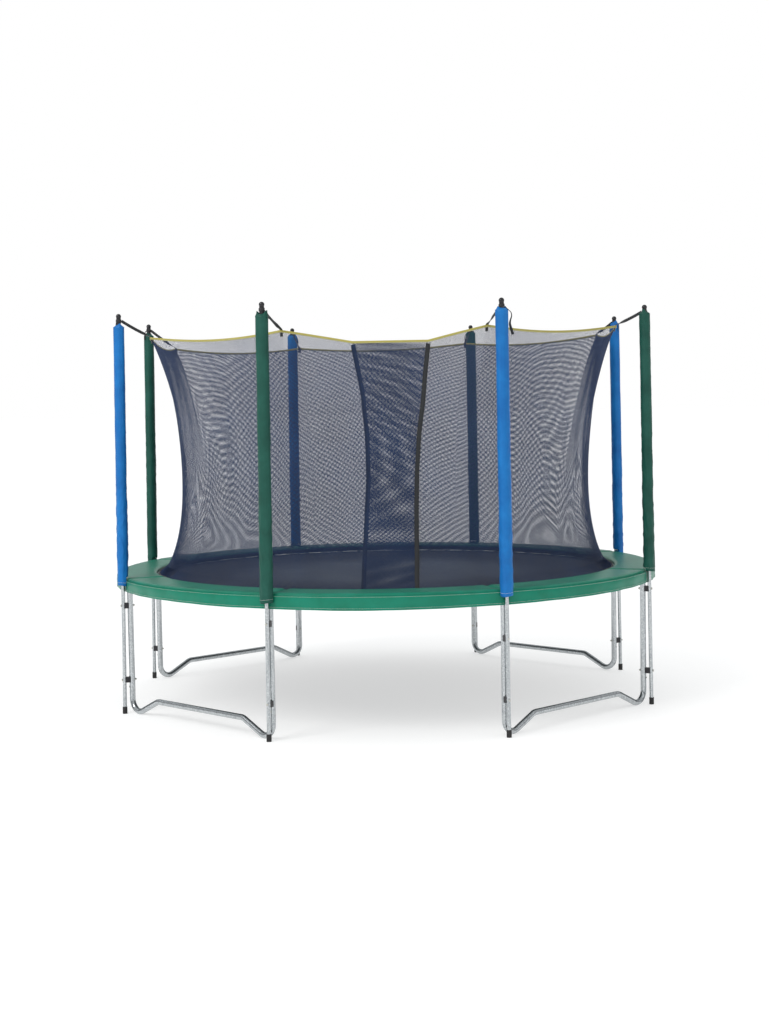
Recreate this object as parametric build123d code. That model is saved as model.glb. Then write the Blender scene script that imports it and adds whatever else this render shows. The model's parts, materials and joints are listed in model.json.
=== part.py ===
from build123d import *
from math import atan2, cos, degrees, hypot, radians, sin, tan
import os

os.makedirs("parts", exist_ok=True)

# A round garden trampoline with a safety enclosure. Millimetres and degrees.
# Origin on the ground under the centre, +Z up, the doorway faces -Y.
# Azimuths are counted from -Y towards +X. In the local frame of a bay or a post
# +X points outwards and +Y points towards a growing azimuth.

# Steel frame
bay_count = 8
frame_diameter = 3660.0  # over the outside of the top rail
rail_height = 835.0  # middle of the top rail above the ground
rail_tube = 42.0
upright_tube = 38.0
pole_tube = 25.0
tube_wall = 1.5
slide_fit = 0.5  # radial room between a swaged end and the tube over it
seam = 0.5  # gap left where two pieces butt
tenon_length = 60.0
shoulder = 3.0  # length of the ring that joins a swaged end to its tube
spigot_length = 40.0  # the stub under the rail that the upright slips over
upright_gap = 2.0  # between the top of an upright and the rail

# W-shaped leg base
base_top = 150.0  # where the base ends and its upright begins
base_rise = 84.0  # how far the middle run stands above the two ground bends
base_slope = 25.0
base_bend = 75.0
swage_length = 48.0
screw_height = 174.0
screw_radius = 2.4
screw_length = 9.0

# Enclosure poles
pole_lean = 0.62  # degrees, the net pulls every pole inwards
pole_length = 2565.0
pole_joint = 1150.0
pole_pad_gap = 4.0  # between a pole and the pad's edge
foot_wall = 2.0
foot_height = 45.0
foot_floor = 5.0
cap_wall = 1.5
cap_length = 60.0
ball_overhang = 2.0  # the cap's ball stands this far outside its neck

# Clamps between pole and upright
lower_clamp = 222.0
upper_clamp_drops = [246.0, 76.0, 135.0, 135.0, 135.0, 135.0, 127.0, 135.0]  # below the rail
clamp_height = 36.0
clamp_cheek = 2.5  # wall of the spacer beside the pole
upright_saddle = 9.0  # how deep the spacer wraps the upright
pole_saddle = 8.5
bolt_radius = 4.0
bolt_room = 0.5
nut_play = 0.2
head_radius = 7.5
head_height = 5.5

# Foam and sleeves on the poles
foam_play = 1.0
foam_wall = 17.5
foam_pad_gap = 9.5
sleeve_play = 2.0
sleeve_wall = 2.0
sleeve_pad_gap = 2.5  # where the sleeve hangs past the pad's edge
sleeve_hem_rise = 10.0  # lower hem of a sleeve above the middle of the rail
sleeve_drop = 35.0  # top of a sleeve below the top of its pole
gather_height = 34.0
gather_foam_gap = 11.0
sleeve_colours = ["green", "blue"]

# Jumping mat and springs
springs_per_rail = 9
spring_span = 209.0  # from the mat's edge to the middle of the rail
mat_thickness = 2.0
webbing_width = 38.0
webbing_thickness = 2.0
webbing_inset = 2.0
ring_wire = 5.0
ring_reach = 28.0
ring_gap = 4.0  # between the mat's edge and a ring
ring_tip = 3.0
spring_radius = 11.0
spring_wire = 1.75
spring_hook = 20.0
hook_play = 2.0
hook_grip = 4.0  # how far the spring's end reaches into the bore of the rail
slot_radius = 5.0

# Safety pad over the springs
pad_lap = 40.0  # the pad covers this much of the mat
pad_overhang = 6.0  # and stands this far outside the rail
pad_rail_gap = 4.0
pad_foam_thickness = 17.0
pad_skin = 1.4
pad_edge = 14.0
pad_skirt = 48.0  # lower edge of the outer skirt below the middle of the rail
pad_lip_rise = 15.0  # lower edge of the inner lip above the mat
pad_backing_thickness = 1.2
tie_count = 16
tie_width = 25.0
tie_thickness = 1.2

# Enclosure net
net_thickness = 1.5
net_pad_gap = 5.0  # between the net's hem and the pad's inner edge
hem_rise = 10.0  # lower edge of the hem above the mat
hem_width = 31.0
hem_thickness = 3.0
rim_radius = 5.0
rim_reach = 185.0  # from a pole in to the corner of the rim that its strap holds
rim_drop = 115.0  # a corner of the rim below the top of its pole
rim_sag = 35.0
door_rim_sag = 82.0
rim_inset = 6.0  # each run of the rim stops short of its corners
net_headroom = 10.0
panel_facets = 8
band_width = 28.0
band_thickness = 2.0
band_rim_gap = 16.0
band_hem_gap = 4.0
flap_spread = 5.0  # how far the two doorway layers stand off the wall
strap_width = 24.0
strap_thickness = 2.0
strap_gap = 8.0
strap_rim_gap = 3.0
hook_count = 36
hook_radius = 2.0
hook_rise = 3.0
door_left_azimuth = -6.9  # where the doorway lines meet the rim
door_right_azimuth = 10.4

# The wall's waist, from its hem to its top: share of the wall's height, how far it is
# drawn in from a straight wall in the middle of a bay and at a corner, and the azimuths
# of the left and the right doorway line
net_profile = [
    (0.0, 2.0, 2.0, -5.2, 6.8),
    (0.11, 91.0, 103.0, -5.2, 7.2),
    (0.235, 131.0, 155.0, -4.8, 7.6),
    (0.395, 145.0, 180.0, -4.2, 8.1),
    (0.58, 131.0, 170.0, -4.3, 8.6),
    (0.77, 92.0, 120.0, -5.3, 9.5),
    (1.0, -8.0, -5.0, -7.4, 10.6),
]

bay = 360.0 / bay_count
half_bay = bay / 2
post_azimuths = [half_bay + bay * i for i in range(bay_count)]
flat = (Align.CENTER, Align.CENTER, Align.MIN)

rail_radius = (frame_diameter - rail_tube) / 2
rail_bore = rail_tube / 2 - tube_wall
upright_bore = upright_tube / 2 - tube_wall
pole_bore = pole_tube / 2 - tube_wall
upper_clamps = [rail_height - drop for drop in upper_clamp_drops]
clamp_width = pole_tube + 2 * clamp_cheek
spring_count = bay_count * springs_per_rail
mat_height = rail_height
mat_radius = rail_radius - spring_span

pad_inner = mat_radius - pad_lap
pad_outer = rail_radius + rail_tube / 2 + pad_overhang
pad_bottom = rail_height + rail_tube / 2 + pad_rail_gap
pad_core_bottom = pad_bottom + pad_backing_thickness + seam
pad_top = pad_core_bottom + pad_foam_thickness + seam + pad_skin
pad_hem = rail_height - pad_skirt
pad_lip = mat_height + pad_lip_rise

lean_rate = tan(radians(pole_lean))
pole_radius = pad_outer + pole_pad_gap + pole_tube / 2 + pad_top * lean_rate
cap_neck = pole_tube / 2 + slide_fit + cap_wall
strap_neck = cap_neck + 2 * slide_fit
foam_radius = pole_tube / 2 + foam_play + foam_wall
sleeve_radius = foam_radius + sleeve_play + sleeve_wall
sleeve_bottom = rail_height + sleeve_hem_rise
sleeve_top = pole_length - sleeve_drop
sleeve_shoulder = sleeve_top - gather_height
foam_bottom = pad_top + foam_pad_gap
foam_top = sleeve_shoulder - gather_foam_gap

hem_radius = pad_inner - net_pad_gap
hem_bottom = mat_height + hem_rise
hem_top = hem_bottom + hem_width
corner_height = pole_length - rim_drop
corner_radius = pole_radius - corner_height * lean_rate - rim_reach
corner_width = corner_radius * sin(radians(half_bay))
corner_depth = corner_radius * cos(radians(half_bay))
rim_clear = rim_radius + 2 * seam
door_rim_height = corner_height - door_rim_sag


def at(azimuth):
    return Rot(0, 0, azimuth - 90)


def save(name, *solids):
    shape = solids[0] if len(solids) == 1 else Compound(children=list(solids))
    export_step(shape, f"parts/{name}.step")


def rod(radius, bottom, top, x=0.0):
    return Pos(x, 0, bottom) * Cylinder(radius, top - bottom, align=flat)


def pipe(outer, inner, bottom, top, x=0.0):
    return rod(outer, bottom, top, x) - rod(inner, bottom, top, x)


def cross_rod(radius, start, end, height):
    """A rod along the local +X axis."""
    return Pos(start, 0, height) * Rot(0, 90, 0) * Cylinder(radius, end - start, align=flat)


def turned(*points):
    """A closed outline of radius and height, turned about Z."""
    return revolve(make_face(Plane.XZ * Polyline(*points, close=True)), Axis.Z)


def ring(inner, outer, bottom, top):
    return pipe(outer, inner, bottom, top)


def lean(shape):
    """Stands a shape made along Z on the axis of a leaning pole."""
    return Pos(pole_radius, 0, 0) * Rot(0, -pole_lean, 0) * shape


def pole_x(height):
    return pole_radius - height * lean_rate


# ---- steel frame ----

def rail():
    """One curved top rail with the spigot for its upright and nine spring slots."""
    arc = bay - degrees(seam / rail_radius)
    tenon_arc = degrees(tenon_length / rail_radius)
    outline = Plane.XZ * Pos(rail_radius, rail_height)
    outer = Rot(0, 0, -arc / 2) * revolve(outline * Circle(rail_tube / 2), Axis.Z, arc)
    swage_radius = rail_bore - slide_fit
    swage = revolve(outline * Circle(swage_radius), Axis.Z, 2 * tenon_arc)
    swage = Rot(0, 0, arc / 2 - tenon_arc) * swage
    spigot_top = rail_height - rail_bore
    spigot_bottom = rail_height - rail_tube / 2 - spigot_length
    spigot_radius = upright_bore - slide_fit
    bored_arc = arc - tenon_arc
    bore = Rot(0, 0, -arc / 2 - 1) * revolve(outline * Circle(rail_bore), Axis.Z, bored_arc + 1)
    swage_bore = revolve(outline * Circle(swage_radius - tube_wall), Axis.Z, 4 * tenon_arc)
    swage_bore = Rot(0, 0, arc / 2 - 2 * tenon_arc) * swage_bore
    body = outer + swage + rod(spigot_radius, spigot_bottom, spigot_top, rail_radius)
    body = body - bore - swage_bore
    body = body - rod(spigot_radius - tube_wall, spigot_bottom, spigot_top, rail_radius)
    pitch = 360.0 / spring_count
    slot = cross_rod(slot_radius, rail_radius - rail_tube, rail_radius, rail_height)
    for i in range(springs_per_rail):
        body = body - Rot(0, 0, pitch * (i - (springs_per_rail - 1) / 2)) * slot
    return body


def drilled(shape, tube_x, height, reach):
    """Clears a clamp bolt through a post at local +X."""
    return shape - cross_rod(bolt_radius + bolt_room, tube_x - reach, tube_x + reach, height)


def screw_hole():
    return cross_rod(screw_radius + bolt_room, rail_radius, rail_radius + upright_tube, screw_height)


def leg_base():
    """W-shaped base under two uprights, made about its own middle azimuth."""
    apothem = rail_radius * cos(radians(half_bay))
    half = rail_radius * sin(radians(half_bay))
    low = upright_tube / 2
    slope = radians(base_slope)
    tangent_y = base_bend * (1 + sin(slope))
    corner_z = low + base_bend * (1 - cos(slope)) - tangent_y * tan(slope)
    level_z = low + base_rise
    run = (level_z - corner_z) / tan(slope)
    route = [
        (-half, base_top),
        (-half, corner_z),
        (-half + run, level_z),
        (half - run, level_z),
        (half, corner_z),
        (half, base_top),
    ]
    path = FilletPolyline(*[(apothem, y, z) for y, z in route], radius=base_bend)
    start = Plane(path @ 0, z_dir=path % 0)
    tube = sweep(start * Circle(upright_tube / 2), path)
    tube = tube - sweep(start * Circle(upright_bore), path)
    swage = upright_bore - slide_fit
    for side in (-half, half):
        bottom = base_top - shoulder
        step = pipe(upright_tube / 2, swage - tube_wall, bottom, base_top, apothem)
        tenon = pipe(swage, swage - tube_wall, bottom, base_top + swage_length, apothem)
        tube = tube + Pos(0, side, 0) * (step + tenon)
        turn = half_bay if side > 0 else -half_bay
        tube = tube - Rot(0, 0, turn) * screw_hole()
    return tube


def upright(upper_clamp):
    top = rail_height - rail_tube / 2 - upright_gap
    body = pipe(upright_tube / 2, upright_bore, base_top + seam, top, rail_radius)
    for height in (lower_clamp, upper_clamp):
        body = drilled(body, rail_radius, height, upright_tube)
    return body - screw_hole()


def pole_lower(upper_clamp):
    bottom = foot_floor + seam
    swage = pole_bore - slide_fit
    body = pipe(pole_tube / 2, pole_bore, bottom, pole_joint)
    body = body + pipe(pole_tube / 2, swage - tube_wall, pole_joint - shoulder, pole_joint)
    body = body + pipe(swage, swage - tube_wall, pole_joint - shoulder, pole_joint + tenon_length)
    body = lean(body)
    for height in (lower_clamp, upper_clamp):
        body = drilled(body, pole_x(height), height, pole_tube)
    return body


def pole_upper():
    return lean(pipe(pole_tube / 2, pole_bore, pole_joint + seam, pole_length))


def pole_foot():
    inside = pole_tube / 2 + 2 * slide_fit
    body = rod(inside + foot_wall, 0, foot_height, pole_radius)
    return body - rod(inside, foot_floor, foot_height, pole_radius)


def pole_cap():
    """Black plastic cap: a ball on a neck that slips over the pole's end."""
    pocket_top = pole_length + 2 * seam
    bottom = pocket_top - cap_length
    ball_height = pocket_top + cap_neck
    ball = Pos(0, 0, ball_height) * Sphere(cap_neck + ball_overhang)
    cap = rod(cap_neck, bottom, ball_height) + ball
    return lean(cap - rod(pole_tube / 2 + slide_fit, bottom, pocket_top))


def clamp_spacer(height):
    start = rail_radius + upright_tube / 2 - upright_saddle
    end = pole_x(height) - pole_tube / 2 + pole_saddle
    block = Pos(start, 0, height) * Box(
        end - start, clamp_width, clamp_height, align=(Align.MIN, Align.CENTER, Align.CENTER)
    )
    block = block - rod(upright_tube / 2 + seam, 0, rail_height, rail_radius)
    block = block - lean(rod(pole_tube / 2 + seam, 0, pole_joint))
    return drilled(block, rail_radius + upright_tube, height, 2 * upright_tube)


def hex_block(start, height, thickness):
    across = RegularPolygon(head_radius, 6)
    return Pos(start, 0, height) * Rot(0, 90, 0) * extrude(across, thickness)


def clamp_bolt(height):
    head = pole_x(height) + pole_tube / 2 + seam
    end = rail_radius - upright_tube / 2 - 2 * head_height
    return cross_rod(bolt_radius, end, head, height) + hex_block(head, height, head_height)


def clamp_nut(height):
    start = rail_radius - upright_tube / 2 - seam - head_height
    nut = hex_block(start, height, head_height)
    return nut - cross_rod(bolt_radius + nut_play, start, start + head_height, height)


def leg_screw():
    head = rail_radius + upright_tube / 2 + seam
    shank = cross_rod(screw_radius, head - screw_length, head, screw_height)
    return shank + cross_rod(2 * screw_radius, head, head + screw_radius, screw_height)


# ---- sleeves and foam on the poles ----

def foam_tube():
    return lean(pipe(foam_radius, pole_tube / 2 + foam_play, foam_bottom, foam_top))


def sleeve():
    """Cloth sleeve, gathered round the cap's neck and hanging outside the pad."""
    inner = sleeve_radius - sleeve_wall
    neck = strap_neck
    body = turned(
        (inner, sleeve_bottom),
        (sleeve_radius, sleeve_bottom),
        (sleeve_radius, sleeve_shoulder),
        (neck + sleeve_wall, sleeve_top),
        (neck, sleeve_top),
        (inner, sleeve_shoulder),
    )
    return lean(body) - rod(pad_outer + sleeve_pad_gap, pad_hem, pad_top + sleeve_pad_gap)


# ---- mat, rings and springs ----

def mat_ring():
    """Triangular wire loop on the mat's edge, its point towards the spring."""
    inner = mat_radius + ring_gap
    outer = inner + ring_reach
    half = ring_reach / 2
    wire = ring_wire
    outline = [(inner, -half), (outer, -ring_tip), (outer, ring_tip), (inner, half)]
    hole_half = half - 1.2 * wire
    hole_tip = ring_tip / 3
    hole = [
        (inner + wire, -hole_half),
        (outer - wire, -hole_tip),
        (outer - wire, hole_tip),
        (inner + wire, hole_half),
    ]
    face = make_face(Polyline(*outline, close=True)) - make_face(Polyline(*hole, close=True))
    return Pos(0, 0, mat_height - wire / 2) * extrude(face, wire)


def spring():
    """Closed coil between the mat's ring and its slot in the rail, with straight hook ends."""
    start = mat_radius + ring_gap + ring_reach + hook_play
    end = rail_radius - rail_bore + hook_grip
    coil_start = start + spring_hook
    coil_end = rail_radius - rail_tube / 2 - spring_hook
    wire = cross_rod(spring_wire, start, end, mat_height)
    return wire + cross_rod(spring_radius, coil_start, coil_end, mat_height)


# ---- pad ----

def pad_cover():
    """One sewn panel of the vinyl cover: top skin, inner lip and outer skirt."""
    panel = bay - degrees(seam / pad_inner)
    edge = pad_edge
    skin = pad_skin
    under = pad_top - skin
    skirt = pad_outer - skin
    lip = pad_inner + skin
    outline = [
        (pad_inner, pad_lip),
        (pad_inner, pad_top - edge),
        (pad_inner + edge, pad_top),
        (pad_outer - edge, pad_top),
        (pad_outer, pad_top - edge),
        (pad_outer, pad_hem),
        (skirt, pad_hem),
        (skirt, under - edge + skin / 2),
        (pad_outer - edge - skin / 2, under),
        (pad_inner + edge + skin / 2, under),
        (lip, under - edge + skin / 2),
        (lip, pad_lip),
    ]
    section = make_face(Plane.XZ * Polyline(*outline, close=True))
    return Rot(0, 0, -panel / 2) * revolve(section, Axis.Z, panel)


def pad_ring(inner, outer, bottom, top, gap):
    arc = bay - degrees(gap / pad_inner)
    section = Plane.XZ * Pos(inner, bottom) * Rectangle(outer - inner, top - bottom, align=Align.MIN)
    return Rot(0, 0, -arc / 2) * revolve(section, Axis.Z, arc)


def pad_foam():
    edge = pad_edge + 4 * seam
    top = pad_core_bottom + pad_foam_thickness
    return pad_ring(pad_inner + edge, pad_outer - edge, pad_core_bottom, top, 4 * seam)


def pad_backing():
    inner = pad_inner + pad_skin + seam
    outer = pad_outer - pad_skin - seam
    return ring(inner, outer, pad_bottom, pad_bottom + pad_backing_thickness)


def pad_tie():
    """Elastic loop round the rail, hanging under the pad's backing."""
    inner = rail_tube / 2 + seam
    loop = Cylinder(inner + tie_thickness, tie_width) - Cylinder(inner, tie_width)
    return Pos(rail_radius, 0, rail_height) * Rot(90, 0, 0) * loop


# ---- net ----

def wall_level(row):
    """Height, radius in the middle of a bay, radius at a corner and the two doorway lines."""
    share, middle_draw, corner_draw, left, right = row
    bottom = hem_top + seam
    height = bottom + (corner_height + net_headroom - bottom) * share
    middle = hem_radius + (corner_depth - hem_radius) * share - middle_draw
    corner = hem_radius + (corner_radius - hem_radius) * share - corner_draw
    return height, middle, corner, left, right


net_levels = [wall_level(row) for row in net_profile]


def level_at(height):
    """The wall at a height between two of its levels."""
    low = max(i for i, level in enumerate(net_levels) if level[0] <= height)
    below, above = net_levels[low], net_levels[low + 1]
    share = (height - below[0]) / (above[0] - below[0])
    return [a + (b - a) * share for a, b in zip(below, above)]


def net_radius(level, azimuth):
    """Wall radius at an azimuth counted from the middle of a bay."""
    middle, corner = level[1:3]
    bulge = (1 / cos(radians(azimuth)) - 1) / (1 / cos(radians(half_bay)) - 1)
    return middle + (corner - middle) * bulge


def net_strip(levels, edges, offsets, thickness, parts):
    """Thin curved wall. edges gives its two azimuths at a level, offsets its two stand-offs."""
    sections = []
    for level in levels:
        first, last = edges(level)
        outer = []
        inner = []
        for i in range(parts + 1):
            share = i / parts
            azimuth = first + (last - first) * share
            stand_off = offsets[0] + (offsets[1] - offsets[0]) * share
            radius = net_radius(level, azimuth) + stand_off
            for side, points in ((thickness / 2, outer), (-thickness / 2, inner)):
                reach = radius + side
                x, y = reach * cos(radians(azimuth)), reach * sin(radians(azimuth))
                points.append((x, y, level[0]))
        sections.append(make_face(Polyline(*outer, *reversed(inner), close=True)))
    return loft(sections, ruled=True)


def above_rim(outline):
    """Everything above a line of width and height across a bay, seen from the centre."""
    high = 2 * corner_height
    wide = 2 * corner_radius
    face = make_face(outline + Polyline(outline @ 1, (wide, high), (-wide, high), outline @ 0))
    return extrude(Plane.YZ * face, 2 * frame_diameter)


def sagging_rim(drop):
    half = corner_width
    high = corner_height - drop
    return ThreePointArc((-half, high), (0, high - rim_sag), (half, high))


def door_point(azimuth):
    """Where a doorway line meets the rim."""
    radius = net_radius(level_at(door_rim_height), azimuth)
    return radius * cos(radians(azimuth)), radius * sin(radians(azimuth)), door_rim_height


door_left = door_point(door_left_azimuth)
door_right = door_point(door_right_azimuth)


def door_rim(drop):
    """The rim over the doorway: straight from a corner to each doorway line, level between."""
    points = [
        (-corner_width, corner_height - drop),
        (door_left[1], door_rim_height - drop),
        (door_right[1], door_rim_height - drop),
        (corner_width, corner_height - drop),
    ]
    return Polyline(*points)


def net_panel():
    end = half_bay - degrees(seam / hem_radius)
    wall = net_strip(net_levels, lambda level: (-end, end), (0, 0), net_thickness, panel_facets)
    return wall - above_rim(sagging_rim(rim_clear))


def angle_of(width, level):
    return degrees(width / level[1])


def outer_flap():
    end = half_bay - degrees(seam / hem_radius)

    def edges(level):
        return -end, level[4] - angle_of(band_width / 2 + seam, level)

    wall = net_strip(net_levels, edges, (0, flap_spread), net_thickness, panel_facets)
    return wall - above_rim(door_rim(rim_clear))


def inner_flap():
    end = half_bay - degrees(seam / hem_radius)

    def edges(level):
        return level[3] + angle_of(band_width / 2 + seam, level), end

    wall = net_strip(net_levels, edges, (-flap_spread, 0), net_thickness, panel_facets)
    return wall - above_rim(door_rim(rim_clear))


def door_band(column, stand_off):
    """Webbing sewn along the free edge of a doorway flap."""

    def edges(level):
        half = angle_of(band_width / 2, level)
        return level[column] - half, level[column] + half

    band = net_strip(net_levels, edges, (stand_off, stand_off), band_thickness, 1)
    return band & rod(frame_diameter, hem_top + band_hem_gap, door_rim_height - band_rim_gap)


def rim_run(path):
    return sweep(Plane(path @ 0, z_dir=path % 0) * Circle(rim_radius), path)


def rim_arc():
    side = corner_width - rim_inset
    high = corner_height - 4 * rim_sag * rim_inset / (2 * corner_width)
    depth = corner_depth
    middle = (depth, 0, corner_height - rim_sag)
    return rim_run(ThreePointArc((depth, -side, high), middle, (depth, side, high)))


def rim_door():
    """Three straight runs of the rim over the doorway, short of each other by a seam."""
    left_corner = (corner_depth, -corner_width, corner_height)
    right_corner = (corner_depth, corner_width, corner_height)
    stops = [Vector(*left_corner), Vector(*door_left), Vector(*door_right), Vector(*right_corner)]
    runs = []
    for a, b in zip(stops, stops[1:]):
        along = (b - a).normalized() * rim_inset
        runs.append(rim_run(Line(a + along, b - along)))
    return runs


def net_hem():
    return ring(hem_radius - hem_thickness / 2, hem_radius + hem_thickness / 2, hem_bottom, hem_top)


def net_strap():
    """Webbing from a loop round the cap's neck down to a corner of the rim."""
    loop_height = sleeve_top + strap_gap
    neck = strap_neck
    loop = lean(pipe(neck + strap_thickness, neck, loop_height, loop_height + strap_width))
    start = (pole_x(loop_height) - neck, loop_height + strap_width / 2)
    end = (corner_radius + rim_radius + strap_rim_gap, corner_height)
    length = hypot(start[0] - end[0], start[1] - end[1])
    slope = degrees(atan2(start[1] - end[1], start[0] - end[0]))
    ribbon = Box(length, strap_thickness, strap_width, align=(Align.MAX, Align.CENTER, Align.CENTER))
    ribbon = Pos(start[0], 0, start[1]) * Rot(0, -slope, 0) * ribbon
    cut = lean(rod(neck, loop_height - strap_width, loop_height + 2 * strap_width))
    return loop + (ribbon - cut)


def net_hook():
    """Short elastic hook under the pad, from the net's hem out to a ring of the mat."""
    start = hem_radius + hem_thickness / 2 + seam
    return cross_rod(hook_radius, start, mat_radius + ring_gap, hem_bottom + hook_rise)


# ---- write every node ----

rail_piece = rail()
base_piece = leg_base()
sleeve_piece = sleeve()
panel_piece = net_panel()

for i, azimuth in enumerate(post_azimuths):
    number = i + 1
    save(f"rail_{number}", at(azimuth) * rail_piece)
    save(f"upright_{number}", at(azimuth) * upright(upper_clamps[i]))
    colour = sleeve_colours[(i + 1) % 2]
    save(f"sleeve_{colour}_{number}", at(azimuth) * sleeve_piece)

for i in range(bay_count // 2):
    save(f"leg_base_{i + 1}", at(bay + 2 * bay * i) * base_piece)

clamps = []
for azimuth, upper in zip(post_azimuths, upper_clamps):
    clamps += [(azimuth, lower_clamp), (azimuth, upper)]
save("clamp_spacers", *[at(a) * clamp_spacer(h) for a, h in clamps])
save("clamp_bolts", *[at(a) * clamp_bolt(h) for a, h in clamps])
save("clamp_nuts", *[at(a) * clamp_nut(h) for a, h in clamps])
save("leg_screws", *[at(a) * leg_screw() for a in post_azimuths])

save("pole_lowers", *[at(a) * pole_lower(u) for a, u in zip(post_azimuths, upper_clamps)])
save("pole_uppers", *[at(a) * pole_upper() for a in post_azimuths])
save("pole_feet", *[at(a) * pole_foot() for a in post_azimuths])
save("pole_caps", *[at(a) * pole_cap() for a in post_azimuths])
save("foam_tubes", *[at(a) * foam_tube() for a in post_azimuths])

spring_azimuths = [360.0 / spring_count * (i + 0.5) for i in range(spring_count)]
spring_piece = spring()
ring_piece = mat_ring()
save("springs", *[at(a) * spring_piece for a in spring_azimuths])
save("mat_rings", *[at(a) * ring_piece for a in spring_azimuths])
save("jump_mat", rod(mat_radius, mat_height - mat_thickness / 2, mat_height + mat_thickness / 2))
webbing_bottom = mat_height + mat_thickness / 2 + seam
webbing_outer = mat_radius - webbing_inset
webbing_top = webbing_bottom + webbing_thickness
save("mat_webbing", ring(mat_radius - webbing_width, webbing_outer, webbing_bottom, webbing_top))

cover_panel = pad_cover()
foam_arc = pad_foam()
bay_azimuths = [bay * i for i in range(bay_count)]
save("pad_cover", *[at(a) * cover_panel for a in bay_azimuths])
save("pad_foam", *[at(a) * foam_arc for a in bay_azimuths])
save("pad_backing", pad_backing())
tie_pitch = 360.0 / tie_count
save("pad_ties", *[at(tie_pitch * (i + 0.5)) * pad_tie() for i in range(tie_count)])

for i in range(1, bay_count):
    save(f"net_panel_{i}", at(bay * i) * panel_piece)
save("net_flap_outer", at(0) * outer_flap())
save("net_flap_inner", at(0) * inner_flap())
save("door_band_outer", at(0) * door_band(4, flap_spread))
save("door_band_inner", at(0) * door_band(3, -flap_spread))
rim_pieces = [at(bay * i) * rim_arc() for i in range(1, bay_count)]
rim_pieces += [at(0) * run for run in rim_door()]
save("net_rim", *rim_pieces)
save("net_hem", net_hem())
save("net_straps", *[at(a) * net_strap() for a in post_azimuths])
save("net_hooks", *[at(360.0 / hook_count * (i + 0.25)) * net_hook() for i in range(hook_count)])
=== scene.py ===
import json
import math

import bpy
from mathutils import Matrix, Vector, noise


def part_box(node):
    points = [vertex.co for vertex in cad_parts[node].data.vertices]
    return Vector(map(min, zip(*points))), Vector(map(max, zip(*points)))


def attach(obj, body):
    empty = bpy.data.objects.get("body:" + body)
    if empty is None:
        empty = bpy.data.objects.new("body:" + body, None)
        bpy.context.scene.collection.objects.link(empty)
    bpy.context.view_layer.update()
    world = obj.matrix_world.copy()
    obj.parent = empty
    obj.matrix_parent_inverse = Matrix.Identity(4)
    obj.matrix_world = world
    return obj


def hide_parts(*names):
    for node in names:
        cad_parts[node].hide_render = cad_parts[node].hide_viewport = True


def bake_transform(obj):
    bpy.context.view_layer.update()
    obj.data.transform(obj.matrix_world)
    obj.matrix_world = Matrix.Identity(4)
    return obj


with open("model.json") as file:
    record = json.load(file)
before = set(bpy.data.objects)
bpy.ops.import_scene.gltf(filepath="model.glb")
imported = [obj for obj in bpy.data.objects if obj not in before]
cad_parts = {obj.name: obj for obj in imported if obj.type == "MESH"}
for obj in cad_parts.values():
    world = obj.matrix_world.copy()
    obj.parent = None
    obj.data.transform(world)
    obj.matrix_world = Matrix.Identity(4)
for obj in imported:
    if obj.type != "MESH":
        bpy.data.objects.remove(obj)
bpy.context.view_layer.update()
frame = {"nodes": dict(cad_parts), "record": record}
nodes = frame["nodes"]

# azimuths are in degrees, from the doorway, which faces -Y, towards +X
bayAngle = 45.0
postCount = 8
postAzimuths = [bayAngle * (i + 0.5) for i in range(postCount)]
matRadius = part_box("jump_mat")[1].x
matHeight = (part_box("jump_mat")[0].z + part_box("jump_mat")[1].z) / 2
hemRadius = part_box("net_hem")[1].x - 0.0015  # to the middle of the hem's thickness
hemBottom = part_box("net_hem")[0].z
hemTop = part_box("net_hem")[1].z
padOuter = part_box("pad_cover")[1].x
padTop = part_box("pad_cover")[1].z
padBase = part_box("pad_backing")[1].z
padInner = matRadius - 0.040  # the pad's lip covers the edge of the mat
poleFoot = Vector(frame["record"]["mounts"][0]["pos_m"]).length
poleLean = math.tan(math.radians(0.62))  # the poles lean in a little


def polar(radius, azimuth, height=0.0):
    turn = math.radians(azimuth)
    return Vector((radius * math.sin(turn), -radius * math.cos(turn), height))


def mix(a, b, share):
    return a + (b - a) * share


def smooth(share):
    share = min(max(share, 0.0), 1.0)
    return share * share * (3 - 2 * share)


def poleRadius(height):
    return poleFoot - height * poleLean


def hexColour(code):
    channels = [int(code[i:i + 2], 16) / 255 for i in (1, 3, 5)]
    linear = [c / 12.92 if c <= 0.04045 else ((c + 0.055) / 1.055) ** 2.4 for c in channels]
    return (*linear, 1.0)


def addNode(tree, kind, settings=None, links=None):
    # settings are the node's own properties, or the values of inputs by name or number
    node = tree.nodes.new(kind)
    for name, value in (settings or {}).items():
        if isinstance(name, str) and hasattr(node, name):
            setattr(node, name, value)
        else:
            node.inputs[name].default_value = value
    for name, source in (links or {}).items():
        tree.links.new(source, node.inputs[name])
    return node


# a camera at eye height, well back, tipped a little to one side
camera = {
    "lens": 58.86,
    "sensor": 36.0,
    "place": (-0.0134, -11.5497, 1.9795),
    "yaw": 0.0539,
    "down": 3.6468,
    "roll": -1.0116,
}


def placeCamera():
    lens = bpy.data.cameras.new("studioCamera")
    lens.lens = camera["lens"]
    lens.sensor_width = camera["sensor"]
    eye = bpy.data.objects.new("studioCamera", lens)
    bpy.context.scene.collection.objects.link(eye)
    yaw = Matrix.Rotation(math.radians(-camera["yaw"]), 4, "Z")
    tip = Matrix.Rotation(math.radians(90 - camera["down"]), 4, "X")
    roll = Matrix.Rotation(math.radians(camera["roll"]), 4, "Z")
    eye.matrix_world = Matrix.Translation(camera["place"]) @ yaw @ tip @ roll
    bpy.context.scene.camera = eye


placeCamera()
print("camera placed")


def startMaterial(name, settings):
    material = bpy.data.materials.new(name)
    material.use_nodes = True
    tree = material.node_tree
    shader = tree.nodes["Principled BSDF"]
    for key, value in settings.items():
        shader.inputs[key].default_value = value
    return material, tree, shader


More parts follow.
